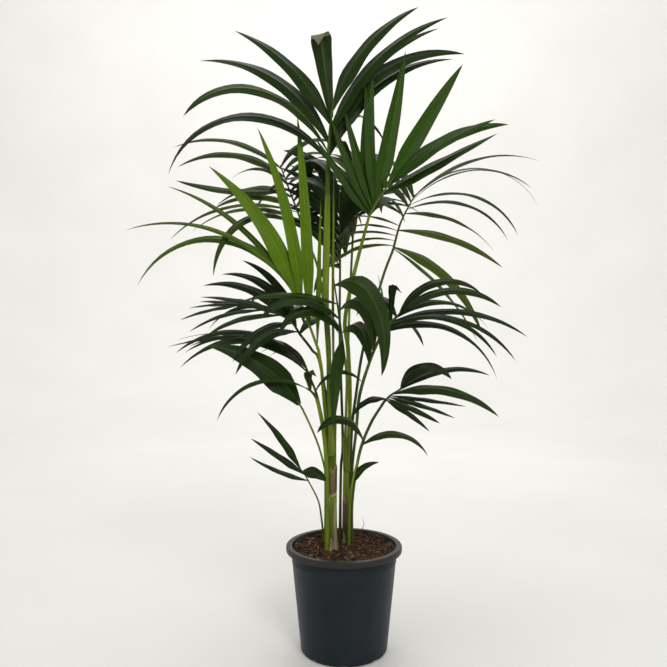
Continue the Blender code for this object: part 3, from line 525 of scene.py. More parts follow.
POT_PLASTIC = Finish("pot_plastic", (0.012, 0.017, 0.021), (0.018, 0.024, 0.029), 0.44,
                     9.0, 1500.0, 0.00012)
# The body's plastic painted lighter and greyer on the rim: a painted reflection along the rolled rim
RIM_REFLECTION_PLASTIC = Finish("pot_rim_reflection_plastic", (0.024, 0.025, 0.025), (0.038, 0.038, 0.036), 0.38,
                     12.0, 1500.0, 0.00012)
MIX_DARK = Finish("mix_dark", (0.017, 0.011, 0.007), (0.032, 0.020, 0.012), 0.95,
                  120.0, 900.0, 0.0012)
BARK_BROWN = Finish("bark_brown", (0.064, 0.037, 0.021), (0.030, 0.018, 0.010), 0.90,
                    160.0, 700.0, 0.0008)
BARK_RED = Finish("bark_red", (0.128, 0.060, 0.032), (0.062, 0.031, 0.017), 0.88,
                  160.0, 700.0, 0.0008)
BARK_PALE = Finish("bark_pale", (0.330, 0.210, 0.120), (0.150, 0.085, 0.045), 0.88,
                   160.0, 700.0, 0.0008)
COIR = Finish("coir", (0.230, 0.135, 0.070), (0.105, 0.056, 0.028), 0.90, 90.0, 900.0, 0.0003)
STEM_GREEN = Finish("stem_green", (0.205, 0.262, 0.026), (0.070, 0.100, 0.013), 0.42,
                    80.0, 800.0, 0.0005, stretch=0.08)
PETIOLE_GREEN = Finish("petiole_green", (0.178, 0.252, 0.018), (0.078, 0.122, 0.009), 0.42,
                       55.0, 900.0, 0.0004, stretch=0.07)
PETIOLE_SHADE = Finish("petiole_shade", (0.075, 0.115, 0.020), (0.032, 0.058, 0.012), 0.45,
                       55.0, 900.0, 0.0004, stretch=0.07)
SHEATH_DRY = Finish("sheath_dry", (0.150, 0.115, 0.065), (0.058, 0.042, 0.022), 0.80,
                    90.0, 700.0, 0.0010, stretch=0.08)
SHEATH_PALE = Finish("sheath_pale", (0.400, 0.350, 0.215), (0.190, 0.150, 0.080), 0.75,
                     120.0, 700.0, 0.0008, stretch=0.12)
FLOOR_PALE = Finish("floor_pale", (0.800, 0.790, 0.770), (0.830, 0.820, 0.800), 0.80,
                    1.5, 60.0, 0.0002)


def spline_points(points: Sequence[Row], steps: int) -> list[Vector]:
    """Points (x, y, z, radius) on a smooth curve through the given ones.

    Args:
        points: The points that the curve runs through.
        steps: How many pieces each span is cut into.

    Returns:
        Four-dimensional vectors along the curve.
    """
    given = [Vector(p) for p in points]
    ends = [2 * given[0] - given[1]] + given + [2 * given[-1] - given[-2]]
    smooth = []
    for i in range(1, len(ends) - 2):
        a, b, c, d = ends[i - 1:i + 3]
        for k in range(steps):
            t = k / steps
            smooth.append(0.5 * (2 * b + (c - a) * t + (2 * a - 5 * b + 4 * c - d) * t ** 2
                                 + (3 * b - a - 3 * c + d) * t ** 3))
    return smooth + [given[-1]]


def tangents(points: Sequence[Vector]) -> list[Vector]:
    """The unit direction of a curve at each of its points."""
    last = len(points) - 1
    return [(points[min(i + 1, last)].xyz - points[max(i - 1, 0)].xyz).normalized()
            for i in range(last + 1)]


def stalk_rings(points: Sequence[Row], sides: int, steps: int, foot_way: Optional[Vector] = None,
                tip_way: Optional[Vector] = None, lift: float = 0.0,
                section: Optional[Section] = None) -> list[Ring]:
    """Rings of points round a stalk, whose end faces may be given.

    Args:
        points: The stalk's points (x, y, z, half width).
        sides: Points to a ring.
        steps: Rings to a span.
        foot_way: The direction that its first face is square to, if it isn't its own.
        tip_way: The same for its last face.
        lift: How far its start moves on along it.
        section: Gives a factor on the radius from the share, the angle and the ring's centre.

    Returns:
        The rings, from foot to tip.
    """
    line = spline_points(points, steps)
    ways = tangents(line)
    ways[0] = foot_way or ways[0]
    ways[-1] = tip_way or ways[-1]
    rings = []
    for i, (p, way) in enumerate(zip(line, ways)):
        deep = way.cross(Vector((1.0, 0.0, 0.0))).normalized()
        across = deep.cross(way).normalized()
        centre = p.xyz + (way * lift if i == 0 else Vector())
        ring = []
        for k in range(sides):
            a = 2 * math.pi * k / sides
            radius = p.w * (section(i / (len(line) - 1), a, centre) if section else 1.0)
            ring.append(centre + radius * (math.cos(a) * across
                                           + STALK_DEPTH * math.sin(a) * deep))
        rings.append(ring)
    return rings


def joint_way(frond: Frond) -> Vector:
    """The direction in which a frond's petiole runs on into its rachis."""
    return (Vector(frond.rachis[1][:3]) - Vector(frond.petiole[-2][:3])).normalized()


def blade_shape(leaflet: Leaflet, share: float) -> float:
    """Width of a leaflet at a share of its length, of its widest. A folded one widens to its fold."""
    if leaflet.fold_turn:
        opened = ROOT_SHARE + (1 - ROOT_SHARE) * min(1.0, share / leaflet.fold_at) ** FOLD_OPENING
        return opened * min(1.0, (1 - share) / (1 - leaflet.fold_at))
    return (min(1.0, ROOT_SHARE + ROOT_OPENING * share)
            * (1.0 - share ** TIP_POWER) ** TIP_ROUNDNESS)


@dataclass(frozen=True)
class BladeFrame:
    """A place along a leaflet: its share, point, and direction, width and face vectors."""
    share: float
    point: Vector
    way: Vector
    width: Vector
    face: Vector


def blade_frames(leaflet: Leaflet, root: Vector) -> list[BladeFrame]:
    """The places along a leaflet, root to tip.

    Args:
        leaflet: The leaflet.
        root: Where it starts.

    Returns:
        CENTRE_STEPS + 1 places.
    """
    heading = math.radians(leaflet.heading)
    forward = Vector((math.cos(heading), math.sin(heading), 0.0))
    level = Vector((math.sin(heading), -math.cos(heading), 0.0))
    roll = math.radians(leaflet.roll)
    point = root.copy()
    step = leaflet.length / CENTRE_STEPS
    frames = []
    for i in range(CENTRE_STEPS + 1):
        share = i / CENTRE_STEPS
        slope = math.radians(leaflet.rise + (leaflet.fall - leaflet.rise) * share ** BEND_POWER)
        way = math.cos(slope) * forward + math.sin(slope) * UP
        above = level.cross(way)
        width = math.cos(roll) * level + math.sin(roll) * above
        if share > leaflet.fold_at:
            way = Matrix.Rotation(math.radians(leaflet.fold_turn), 3, width) @ way
        frames.append(BladeFrame(share, point.copy(), way, width, way.cross(width) * -1.0))
        point += way * step
    return frames


def blade_rings(leaflet: Leaflet, root: Vector, extra: float) -> tuple[list[Ring], Vector]:
    """Four-sided rings along a leaflet made stouter by extra, and its tip, for overlap tests.

    Args:
        leaflet: The leaflet.
        root: Where it starts.
        extra: What is added to its half width, its half thickness and its length.

    Returns:
        The rings and the tip.
    """
    frames = blade_frames(leaflet, root)
    rings = []
    shares: Sequence[float] = RINGS
    if leaflet.fold_turn:
        fold = leaflet.fold_at
        shares = [share * fold for share in FOLDED_RINGS]
        shares.append(fold + FOLDED_RINGS[1] * (1 - fold))
    for share in shares:
        at = frames[round(share * CENTRE_STEPS)]
        shape = blade_shape(leaflet, share)
        wide = 0.5 * leaflet.width * shape + extra
        body = EDGE_THICKNESS + (1 - EDGE_THICKNESS) * shape
        thick = 0.5 * THICKNESS_SHARE * leaflet.length * body + extra
        rings.append([at.point - at.width * wide, at.point + at.face * thick,
                      at.point + at.width * wide, at.point - at.face * thick])
    return rings, frames[-1].point + frames[-1].way * extra


def loft_faces(rings: Sequence[Ring], tip: Optional[Vector] = None) -> Solid:
    """Points and faces of a closed solid through rings, ending in a tip or in a flat cap."""
    sides = len(rings[0])
    points = [p for ring in rings for p in ring]
    faces = [tuple(reversed(range(sides)))]
    for k in range(len(rings) - 1):
        base = k * sides
        for i in range(sides):
            j = (i + 1) % sides
            faces.append((base + i, base + j, base + sides + j, base + sides + i))
    last = (len(rings) - 1) * sides
    if tip is None:
        faces.append(tuple(range(last, last + sides)))
    else:
        points.append(tip)
        faces += [(last + i, last + (i + 1) % sides, len(points) - 1) for i in range(sides)]
    return points, faces


def tree_of(solid: Solid) -> BVHTree:
    """A search tree over a solid's faces, for overlap tests."""
    points, faces = solid
    return BVHTree.FromPolygons([tuple(p) for p in points], faces)


def rachis_point(frond: Frond, share: float) -> Vector:
    """The point at a share of a frond's rachis."""
    line = spline_points(frond.rachis, CENTRE_STEPS // 2)
    return line[round(share * (len(line) - 1))].xyz


@dataclass(frozen=True)
class Grown:
    """A leaflet in its place: its root, its fan and its place in that fan."""
    root: Vector
    leaflet: Leaflet
    fan: int
    share: float


@dataclass(frozen=True)
class Growth:
    """The rule that sets the leaflets on their fronds, clear of every other frond."""
    seed: int = SEED

    @staticmethod
    def fan_leaflets(fan: Fan, rng: random.Random) -> Iterator[tuple[float, Leaflet]]:
        """The leaflets of a fan with the share of the rachis where each one starts.

        Args:
            fan: The fan. A lone leaflet isn't varied.
            rng: The source of each leaflet's small departure from the rule.

        Yields:
            Share of the rachis, and leaflet.
        """
        loose = float(fan.count > 1)
        for k in range(fan.count):
            t = k / max(1, fan.count - 1)
            leaflet = replace(fan.low, **{
                key: getattr(fan.low, key) + (getattr(fan.high, key) - getattr(fan.low, key)) * t
                for key in ("heading", "rise", "fall", "length", "width", "roll")})
            turn = [loose * rng.uniform(-JITTER_DEGREES, JITTER_DEGREES) for _ in range(3)]
            stretch = 1 + loose * rng.uniform(-JITTER_LENGTH, JITTER_LENGTH)
            yield fan.start + (fan.stop - fan.start) * t, replace(
                leaflet, heading=leaflet.heading + turn[0], rise=leaflet.rise + turn[1],
                fall=leaflet.fall + FALL_JITTER * turn[2], length=leaflet.length * stretch)

    @staticmethod
    def stalk_trees() -> dict[str, list[BVHTree]]:
        """Search trees over the stems, spear, petioles and rachises."""
        stalks = {name: stalk_rings(points, STEM_SIDES, STALK_STEPS, UP) for name, points in STEMS}
        stalks["spear"] = stalk_rings(SPEAR, STALK_SIDES, STALK_STEPS, UP)
        for frond in FRONDS:
            way = joint_way(frond)
            stalks["petiole_" + frond.name] = stalk_rings(frond.petiole, STALK_SIDES, STALK_STEPS,
                                                          UP, way)
            stalks[frond.name] = stalk_rings(frond.rachis, STALK_SIDES, RACHIS_STEPS, way, None, GAP)
        return {name: [tree_of(loft_faces(rings))] for name, rings in stalks.items()}

    def leaflets(self) -> dict[str, list[Grown]]:
        """The leaflets of every frond, each turned a little, or left out, to clear the others.

        Returns:
            Frond name to its leaflets.
        """
        rng = random.Random(self.seed)
        trees = self.stalk_trees()
        grown: dict[str, list[Grown]] = {}
        for frond in FRONDS:
            grown[frond.name] = []
            others = [tree for name, owned in trees.items() if name != frond.name
                      for tree in owned]
            for number, fan in enumerate(frond.fans):
                for share, leaflet in self.fan_leaflets(fan, rng):
                    root = rachis_point(frond, share)
                    for heading, slope in NUDGES:
                        tried = replace(leaflet, heading=leaflet.heading + heading,
                                        rise=leaflet.rise + slope, fall=leaflet.fall + slope)
                        test = tree_of(loft_faces(*blade_rings(tried, root, CLEARANCE)))
                        if not any(test.overlap(tree) for tree in others):
                            grown[frond.name].append(Grown(root, tried, number, share))
                            trees[frond.name].append(test)
                            break
        return grown


class MeshBag:
    """Points, faces, slots and UV places gathered for one object."""

    def __init__(self) -> None:
        """Starts empty."""
        self.points: list[Vector] = []
        self.faces: list[Face] = []
        self.slots: list[int] = []
        self.places: list[tuple[Place, ...]] = []

    def add(self, points: Sequence[Vector], faces: Sequence[Face], slots: Sequence[int],
            places: Optional[Sequence[Place]] = None) -> None:
        """Adds a shape.

        Args:
            points: Its points.
            faces: Its faces, by number of point.
            slots: The material slot of each face.
            places: The UV place of each point, if it has them.
        """
        start = len(self.points)
        self.points += points
        self.slots += slots
        for face in faces:
            self.faces.append(tuple(start + i for i in face))
            self.places.append(tuple(places[i] for i in face) if places
                               else tuple((0.0, 0.0) for _ in face))

    def build(self, name: str, finishes: Sequence[Finish], angle: float = 50.0) -> bpy.types.Object:
        """Makes the object.

        Args:
            name: The object's name.
            finishes: One finish for each slot.
            angle: Edges sharper than this, in degrees, stay sharp.

        Returns:
            The object, at the origin.
        """
        mesh = bpy.data.meshes.new(name)
        mesh.from_pydata([tuple(p) for p in self.points], [], self.faces)
        mesh.polygons.foreach_set("material_index", self.slots)
        chart = mesh.uv_layers.new(name="blade")
        flat = [value for face in self.places for place in face for value in place]
        chart.data.foreach_set("uv", flat)
        for finish in finishes:
            mesh.materials.append(finish.material())
        made = bpy.data.objects.new(name, mesh)
        bpy.context.scene.collection.objects.link(made)
        mesh.validate()
        smooth(made, angle)
        return made


def one_piece(name: str, solid: Solid, finish: Finish, angle: float = 50.0) -> bpy.types.Object:
    """Makes a piece of one solid in one finish.

    Args:
        name: The piece's name.
        solid: Its points and faces.
        finish: Its finish.
        angle: Edges sharper than this, in degrees, stay sharp.

    Returns:
        The piece.
    """
    points, faces = solid
    bag = MeshBag()
    bag.add(points, faces, [0] * len(faces))
    return bag.build(name, [finish], angle)


def smooth(piece: bpy.types.Object, angle: float) -> None:
    """Shades a piece smooth, with edges past the angle, in degrees, left sharp."""
    bpy.ops.object.select_all(action="DESELECT")
    piece.select_set(True)
    bpy.context.view_layer.objects.active = piece
    bpy.ops.object.shade_smooth_by_angle(angle=math.radians(angle))
    piece.select_set(False)


def turned(name: str, profile: Sequence[Place], sides: int) -> bpy.types.Object:
    """Turns a half section (radius, height) about the upright axis.

    Args:
        name: The new piece's name.
        profile: The half section, which starts on the axis.
        sides: How many steps the turn takes.

    Returns:
        The turned piece, with its faces outwards.
    """
    bpy.ops.object.select_all(action="DESELECT")
    bpy.ops.mesh.primitive_plane_add(size=0.01)
    piece = bpy.context.active_object
    piece.name = name
    bpy.ops.object.mode_set(mode="EDIT")
    bpy.ops.mesh.select_all(action="SELECT")
    bpy.ops.mesh.delete(type="VERT")
    shape = bmesh.from_edit_mesh(piece.data)
    line = [shape.verts.new((radius, 0.0, height)) for radius, height in profile]
    for pair in zip(line, line[1:]):
        shape.edges.new(pair)
    bmesh.update_edit_mesh(piece.data)
    bpy.ops.mesh.select_all(action="SELECT")
    bpy.ops.mesh.spin(steps=sides, angle=2 * math.pi, center=(0, 0, 0), axis=(0, 0, 1))
    bpy.ops.mesh.select_all(action="SELECT")
    bpy.ops.mesh.remove_doubles(threshold=MERGE_REACH)
    bpy.ops.mesh.normals_make_consistent(inside=False)
    bpy.ops.object.mode_set(mode="OBJECT")
    return piece


def settle(piece: bpy.types.Object, slot: str, *nodes: str) -> None:
    """Puts a finished piece on the plant.

    Args:
        piece: The piece.
        slot: The record's material slot. Not used.
        nodes: The solids that it stands for.
    """
    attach(piece, "root")
    if nodes:
        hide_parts(*nodes)
    LOG.info("%s: %d faces", piece.name, len(piece.data.polygons))


@dataclass(frozen=True)
class Blade:
    """How a leaflet is carried finer: its section, its twist and its wavy edges.

    Across and beneath are the places of the upper and lower face's points. These, the keel, the
    pleats, the ruffle and the rib's measures are shares of the half width. The edges hang below
    the rib, as this palm's leaflets fold downwards.
    """
    across: tuple[float, ...] = (-1.0, -0.74, -0.40, -0.07, 0.0, 0.07, 0.40, 0.74, 1.0)
    beneath: tuple[float, ...] = (0.62, 0.09, -0.09, -0.62)
    keel: float = 0.24
    rib_rise: float = 0.05
    pleat: float = 0.022
    thickness: float = 0.00040
    twist: float = 16.0
    ruffle: float = 0.07
    ruffle_waves: float = 3.0
    fold_softness: float = 0.05
    brown_from: float = 0.955
    brown_chance: float = 0.4
    turned_length: float = 0.15
    keel_range: tuple[float, float] = (0.6, 1.4)
    keel_loss: float = 0.5
    root_stoutness: float = 1.6
    stoutness_loss: float = 0.8
    rib_crest: float = 0.05
    rib_face: float = 0.06
    rib_under: float = 0.10
    pleats: float = 3.0

    def height(self, across: float, keel: float) -> float:
        """Height of the upper face at a place across the blade, in half widths."""
        side = abs(across)
        rib = self.rib_rise if side < self.rib_crest else 0.0
        return rib - keel * side + self.pleat * math.sin(side * self.pleats * math.pi)

    def frames(self, leaflet: Leaflet, root: Vector) -> list[BladeFrame]:
        """The places along a leaflet, with a fold made soft.

        Args:
            leaflet: The leaflet.
            root: Where it starts.

        Returns:
            Every place for a folded leaflet, else every second one.
        """
        frames = blade_frames(replace(leaflet, fold_at=1.0, fold_turn=0.0), root)
        if not leaflet.fold_turn:
            return frames[::2]
        point = root.copy()
        soft = []
        for at in frames:
            opened = (at.share - leaflet.fold_at) / self.fold_softness
            turn = math.radians(leaflet.fold_turn) * min(1.0, max(0.0, opened))
            way = Matrix.Rotation(turn, 3, at.width) @ at.way
            soft.append(BladeFrame(at.share, point.copy(), way, at.width,
                                   way.cross(at.width) * -1.0))
            point += way * (leaflet.length / CENTRE_STEPS)
        return soft

    def add(self, bag: MeshBag, item: Grown, rng: random.Random, pale: float) -> None:
        """Adds a leaflet to a frond's mesh.

        Args:
            bag: The frond's mesh.
            item: The leaflet in its place.
            rng: The source of its twist, waves and shade.
            pale: The chance that it takes the frond's paler shade.
        """
        leaflet = item.leaflet
        frames = self.frames(leaflet, item.root)
        twist = math.radians(rng.gauss(0.0, self.twist))
        if leaflet.fold_turn:
            twist = 0.0
        phase = rng.uniform(0.0, 2 * math.pi)
        upper = Part.UPPER_PALE if rng.random() < pale else Part.UPPER
        brown = self.brown_from if rng.random() < self.brown_chance else NEVER
        keel = self.keel * rng.uniform(*self.keel_range)
        rings: list[Ring] = []
        places: list[Place] = []
        for at in frames[:-1]:
            turn = Matrix.Rotation(twist * at.share ** 2, 3, at.way)
            width = turn @ at.width
            face = turn @ at.face
            half = 0.5 * leaflet.width * blade_shape(leaflet, at.share)
            drop = keel * (1.0 - self.keel_loss * at.share)
            thick = self.thickness * (self.root_stoutness - self.stoutness_loss * at.share)
            ring = []
            for u in self.across:
                wave = math.sin(2 * math.pi * self.ruffle_waves * at.share + phase + u)
                lift = self.height(u, drop) + self.ruffle * wave * u * u * math.sin(math.pi * at.share)
                ring.append(at.point + half * (u * width + lift * face))
            for u in self.beneath:
                lift = self.height(u, drop) - (self.rib_rise if abs(u) < self.rib_under else 0.0)
                ring.append(at.point + half * (u * width + lift * face) - thick * face)
            rings.append(ring)
            run = at.share * leaflet.length / leaflet.width
            places += [(0.5 + 0.5 * u, run) for u in self.across + self.beneath]
        places.append((0.5, leaflet.length / leaflet.width))
        slots = self.slots(leaflet, upper, brown, len(rings))
        bag.add(*loft_faces(rings, frames[-1].point), slots, places)

    def slots(self, leaflet: Leaflet, upper: Part, brown: float, rings: int) -> list[int]:
        """The slots of a blade's faces.

        Args:
            leaflet: The leaflet.
            upper: The slot of its upper face.
            brown: The share of its length past which it is brown.
            rings: How many rings its mesh has.

        Returns:
            The slot of the root's face, and then those of the faces that follow each ring.
        """
        middles = [0.5 * (a + b) for a, b in zip(self.across, self.across[1:])]
        row = [Part.RIB if abs(middle) < self.rib_face else upper for middle in middles]
        row += [Part.LOWER] * (len(self.beneath) + 1)
        turned_at = leaflet.fold_at if leaflet.length > self.turned_length else 1.0
        parts = [Part.LOWER]
        for k in range(rings):
            # Faces past the fold take the painted reflection
            if k >= math.ceil(turned_at * rings):
                parts += [Part.TURNED] * len(row)
            elif k >= round(brown * rings):
                parts += [Part.TIP] * len(row)
            else:
                parts += row
        return [part.value for part in parts]


@dataclass(frozen=True)
class Crown:
    """The fronds: each a fine rachis with its leaflets, and its petiole."""
    blade: Blade = Blade()
    petiole_sides: int = 16
    petiole_steps: int = 12
    rachis_sides: int = 10
    rachis_steps: int = 8
    channel: float = 0.20
    ribs: int = 7
    rib_depth: float = 0.035
    foot_swell: float = 0.35
    foot_height: float = 0.10
    channel_power: int = 8
    petiole_angle: float = 60.0
    spear_pleats: int = 5
    spear_pleat_depth: float = 0.10
    pale_share: float = 0.35
    between_width: float = 0.80
    between_length: float = 0.93
    seed: int = 71

    def petiole_section(self, share: float, angle: float, centre: Vector) -> float:
        """Factor on a petiole's radius: a channel above, fine ribs and a swollen foot."""
        channel = 1.0 - self.channel * max(0.0, -math.sin(angle)) ** self.channel_power
        ribs = 1.0 + self.rib_depth * math.cos(self.ribs * angle)
        rise = max(0.0, 1.0 - (centre.z - SOIL_TOP) / self.foot_height)
        return channel * ribs * (1.0 + self.foot_swell * rise ** 2)

    def add_petiole(self, frond: Frond) -> None:
        """Makes a petiole's skin, in place of its solid."""
        rings = stalk_rings(frond.petiole, self.petiole_sides, self.petiole_steps, UP,
                            joint_way(frond), section=self.petiole_section)
        name = "petiole_" + frond.name
        finish = PETIOLE_SHADE if frond.tint is Tint.DARK else PETIOLE_GREEN
        piece = one_piece(name + "_skin", loft_faces(rings), finish, self.petiole_angle)
        settle(piece, "petiole", name)

    def between(self, grown: Sequence[Grown]) -> list[Grown]:
        """Leaflets that stand between each two neighbours of a fan.

        Args:
            grown: The frond's leaflets, in order.

        Returns:
            The leaflets in between.
        """
        added = []
        for a, b in zip(grown, grown[1:]):
            if a.fan != b.fan or a.leaflet.fold_turn or b.leaflet.fold_turn:
                continue
            mean = {key: 0.5 * (getattr(a.leaflet, key) + getattr(b.leaflet, key))
                    for key in ("heading", "rise", "fall", "roll")}
            longest = min(a.leaflet.length, b.leaflet.length)
            widest = min(a.leaflet.width, b.leaflet.width)
            leaflet = Leaflet(**mean, length=self.between_length * longest,
                              width=self.between_width * widest)
            added.append(Grown(0.5 * (a.root + b.root), leaflet, a.fan, 0.5 * (a.share + b.share)))
        return added

    def add_frond(self, frond: Frond, grown: Sequence[Grown]) -> None:
        """Makes a frond's blade in place of its solid.

        Args:
            frond: The frond.
            grown: Its leaflets.
        """
        rng = random.Random(f"{self.seed} {frond.name}")
        bag = MeshBag()
        rings = stalk_rings(frond.rachis, self.rachis_sides, self.rachis_steps,
                            joint_way(frond), None, GAP)
        points, faces = loft_faces(rings)
        bag.add(points, faces, [Part.STALK.value] * len(faces))
        leaflets = list(grown)
        if frond.name in DENSE_FRONDS:
            leaflets += self.between(grown)
        until = PALE_UNTIL.get(frond.name)
        for item in leaflets:
            pale = self.pale_share if until is None else float(item.share < until)
            self.blade.add(bag, item, rng, pale)
        tint = SEEN_TINTS.get(frond.name, frond.tint)
        piece = bag.build(f"frond_{frond.name}_leaflets", leaf_finishes(tint))
        settle(piece, "leaf_" + frond.tint.value, "frond_" + frond.name)

    def add_spear(self) -> None:
        """Makes the folded spear, pleated along its length."""
        rings = stalk_rings(
            SPEAR, self.petiole_sides, self.petiole_steps, UP, section=lambda share, angle, centre:
            1.0 + self.spear_pleat_depth * math.cos(self.spear_pleats * angle))
        settle(one_piece("folded_spear", loft_faces(rings), PETIOLE_GREEN), "leaf_mid", "spear")

    def build(self) -> None:
        """Makes every frond, petiole and the spear."""
        grown = Growth().leaflets()
        for frond in FRONDS:
            self.add_petiole(frond)
            self.add_frond(frond, grown[frond.name])
        self.add_spear()


@dataclass(frozen=True)
class Stems:
    """The two clumped stems with their overlapping sheaths and dry torn husks."""
    sides: int = 28
    steps: int = 26
    sheath_height: float = 0.052
    sheath_step: float = 0.07
    edge_wave: float = 0.012
    edge_turn: float = 9.0
    furrow: float = 0.03
    furrows: int = 6
    furrow_turn: float = 14.0
    angle: float = 40.0
    foot_swell: float = 0.28
    foot_height: float = 0.035

    def section(self, share: float, angle: float, centre: Vector) -> float:
        """Factor on a stem's radius: sheaths that lap over one another, and a swollen foot."""
        rise = centre.z - SOIL_TOP
        lap = rise + self.edge_wave * math.sin(angle + self.edge_turn * centre.z)
        step = 1.0 - (lap / self.sheath_height) % 1.0
        foot = max(0.0, 1.0 - rise / self.foot_height)
        furrows = self.furrow * math.sin(self.furrows * angle + self.furrow_turn * centre.z)
        return 1.0 + self.sheath_step * (step - 0.5) + furrows + self.foot_swell * foot ** 2

    def add_stem(self, name: str, points: Sequence[Row]) -> None:
        """Makes a stem's skin, in place of its solid.

        Args:
            name: The solid's name.
            points: The stem's points.
        """
        rings = stalk_rings(points, self.sides, self.steps, UP, section=self.section)
        piece = one_piece(name + "_skin", loft_faces(rings), STEM_GREEN, self.angle)
        settle(piece, "stem", name)

    def build(self) -> None:
        """Makes both stems and the husks round them."""
        for name, points in STEMS:
            self.add_stem(name, points)
        for husk in HUSKS:
            husk.build()


@dataclass(frozen=True)
class Husk:
    """A sheath, most often a dry one, that clings round a stem, with pale torn ends.

    Facing is the way its middle faces in plan, -90 towards the viewer, in degrees, and span is
    how far round it reaches. Slant is how much higher its far edge ends. Splay is how far its
    foot and flare how far its top stands off.
    """
    name: str
    centre: tuple[float, float]
    low: float
    high: float
    radius: float
    facing: float
    span: float
    slant: float
    pale: bool = False
    splay: float = 0.0
    flare: float = 0.0012
    narrowing: float = 0.25
    tear: float = 0.10
    fray_rows: int = 2
    finish: Finish = SHEATH_DRY
    rows: int = 24
    columns: int = 14
    wall: float = 0.0005
    foot_wear: float = 0.4
    crease: float = 0.0003
    crease_waves: tuple[float, float] = (17.0, 40.0)

    def build(self) -> None:
        """Makes the husk as a curved sheet with a wall."""
        rng = random.Random(self.name)
        tall = self.high - self.low
        torn = [rng.uniform(-self.tear, self.tear) * tall for _ in range(self.columns + 1)]
        worn = [rng.uniform(-self.tear, self.tear) * self.foot_wear * tall
                for _ in range(self.columns + 1)]
        points = []
        for i in range(self.rows + 1):
            for k in range(self.columns + 1):
                up = i / self.rows
                t = k / self.columns
                top = self.high + self.slant * (t - 0.5) + torn[k]
                foot = self.low + (0.0 if self.splay else self.slant * (t - 0.5) + worn[k])
                z = foot + (top - foot) * up
                angle = math.radians(self.facing
                                     + self.span * (1.0 - self.narrowing * up ** 3) * (t - 0.5))
                radius = self.radius + self.flare * up ** 4 + self.splay * (1.0 - up) ** 3
                radius += self.crease * math.sin(self.crease_waves[0] * t + self.crease_waves[1] * z)
                points.append(Vector((self.centre[0] + radius * math.cos(angle),
                                      self.centre[1] + radius * math.sin(angle), z)))
        wide = self.columns + 1
        faces = [(i * wide + k, i * wide + k + 1, (i + 1) * wide + k + 1, (i + 1) * wide + k)
                 for i in range(self.rows) for k in range(self.columns)]
        slots = [int(self.pale or i < self.fray_rows or i >= self.rows - self.fray_rows)
                 for i in range(self.rows) for _ in range(self.columns)]
        bag = MeshBag()
        bag.add(points, faces, slots)
        piece = bag.build(self.name, [self.finish, SHEATH_PALE])
        wall = piece.modifiers.new("wall", "SOLIDIFY")
        wall.thickness = self.wall
        wall.offset = -1.0
        bpy.context.view_layer.objects.active = piece
        bpy.ops.object.modifier_apply(modifier="wall")
        settle(piece, "stem")


LEFT_STEM = (-0.0222, -0.0088)
RIGHT_STEM = (0.0052, 0.0388)
HUSKS = (
    Husk("husk_left_dry", (-0.0235, -0.0095), 0.318, 0.374, 0.0092, -90.0, 170.0, 0.010),
    Husk("husk_left_strip", LEFT_STEM, 0.206, 0.300, 0.0098, -72.0, 38.0, 0.010, True, 0.002,
         narrowing=0.7),
    Husk("husk_left_torn_a", LEFT_STEM, 0.205, 0.232, 0.0104, -118.0, 26.0, 0.006, True, 0.005),
    Husk("husk_left_torn_b", LEFT_STEM, 0.205, 0.240, 0.0106, -88.0, 24.0, -0.005, True, 0.006),
    Husk("husk_left_torn_c", LEFT_STEM, 0.205, 0.226, 0.0104, -58.0, 22.0, 0.004, True, 0.004),
    Husk("husk_right_dry", RIGHT_STEM, 0.206, 0.301, 0.0090, -75.0, 170.0, 0.008, splay=0.001),
    Husk("husk_right_torn_a", RIGHT_STEM, 0.205, 0.240, 0.0104, -64.0, 36.0, 0.008, True, 0.004),
    Husk("husk_right_torn_b", RIGHT_STEM, 0.205, 0.228, 0.0104, -112.0, 28.0, -0.005, True, 0.003),
    Husk("sheath_left_top", (-0.0240, -0.0100), 0.400, 0.476, 0.0084, -90.0, 300.0, 0.012,
         narrowing=0.1, tear=0.04, fray_rows=0, finish=STEM_GREEN),
    Husk("sheath_right_top", (0.0060, 0.0350), 0.360, 0.430, 0.0077, -90.0, 300.0, -0.012,
         narrowing=0.1, tear=0.04, fray_rows=0, finish=STEM_GREEN),
)


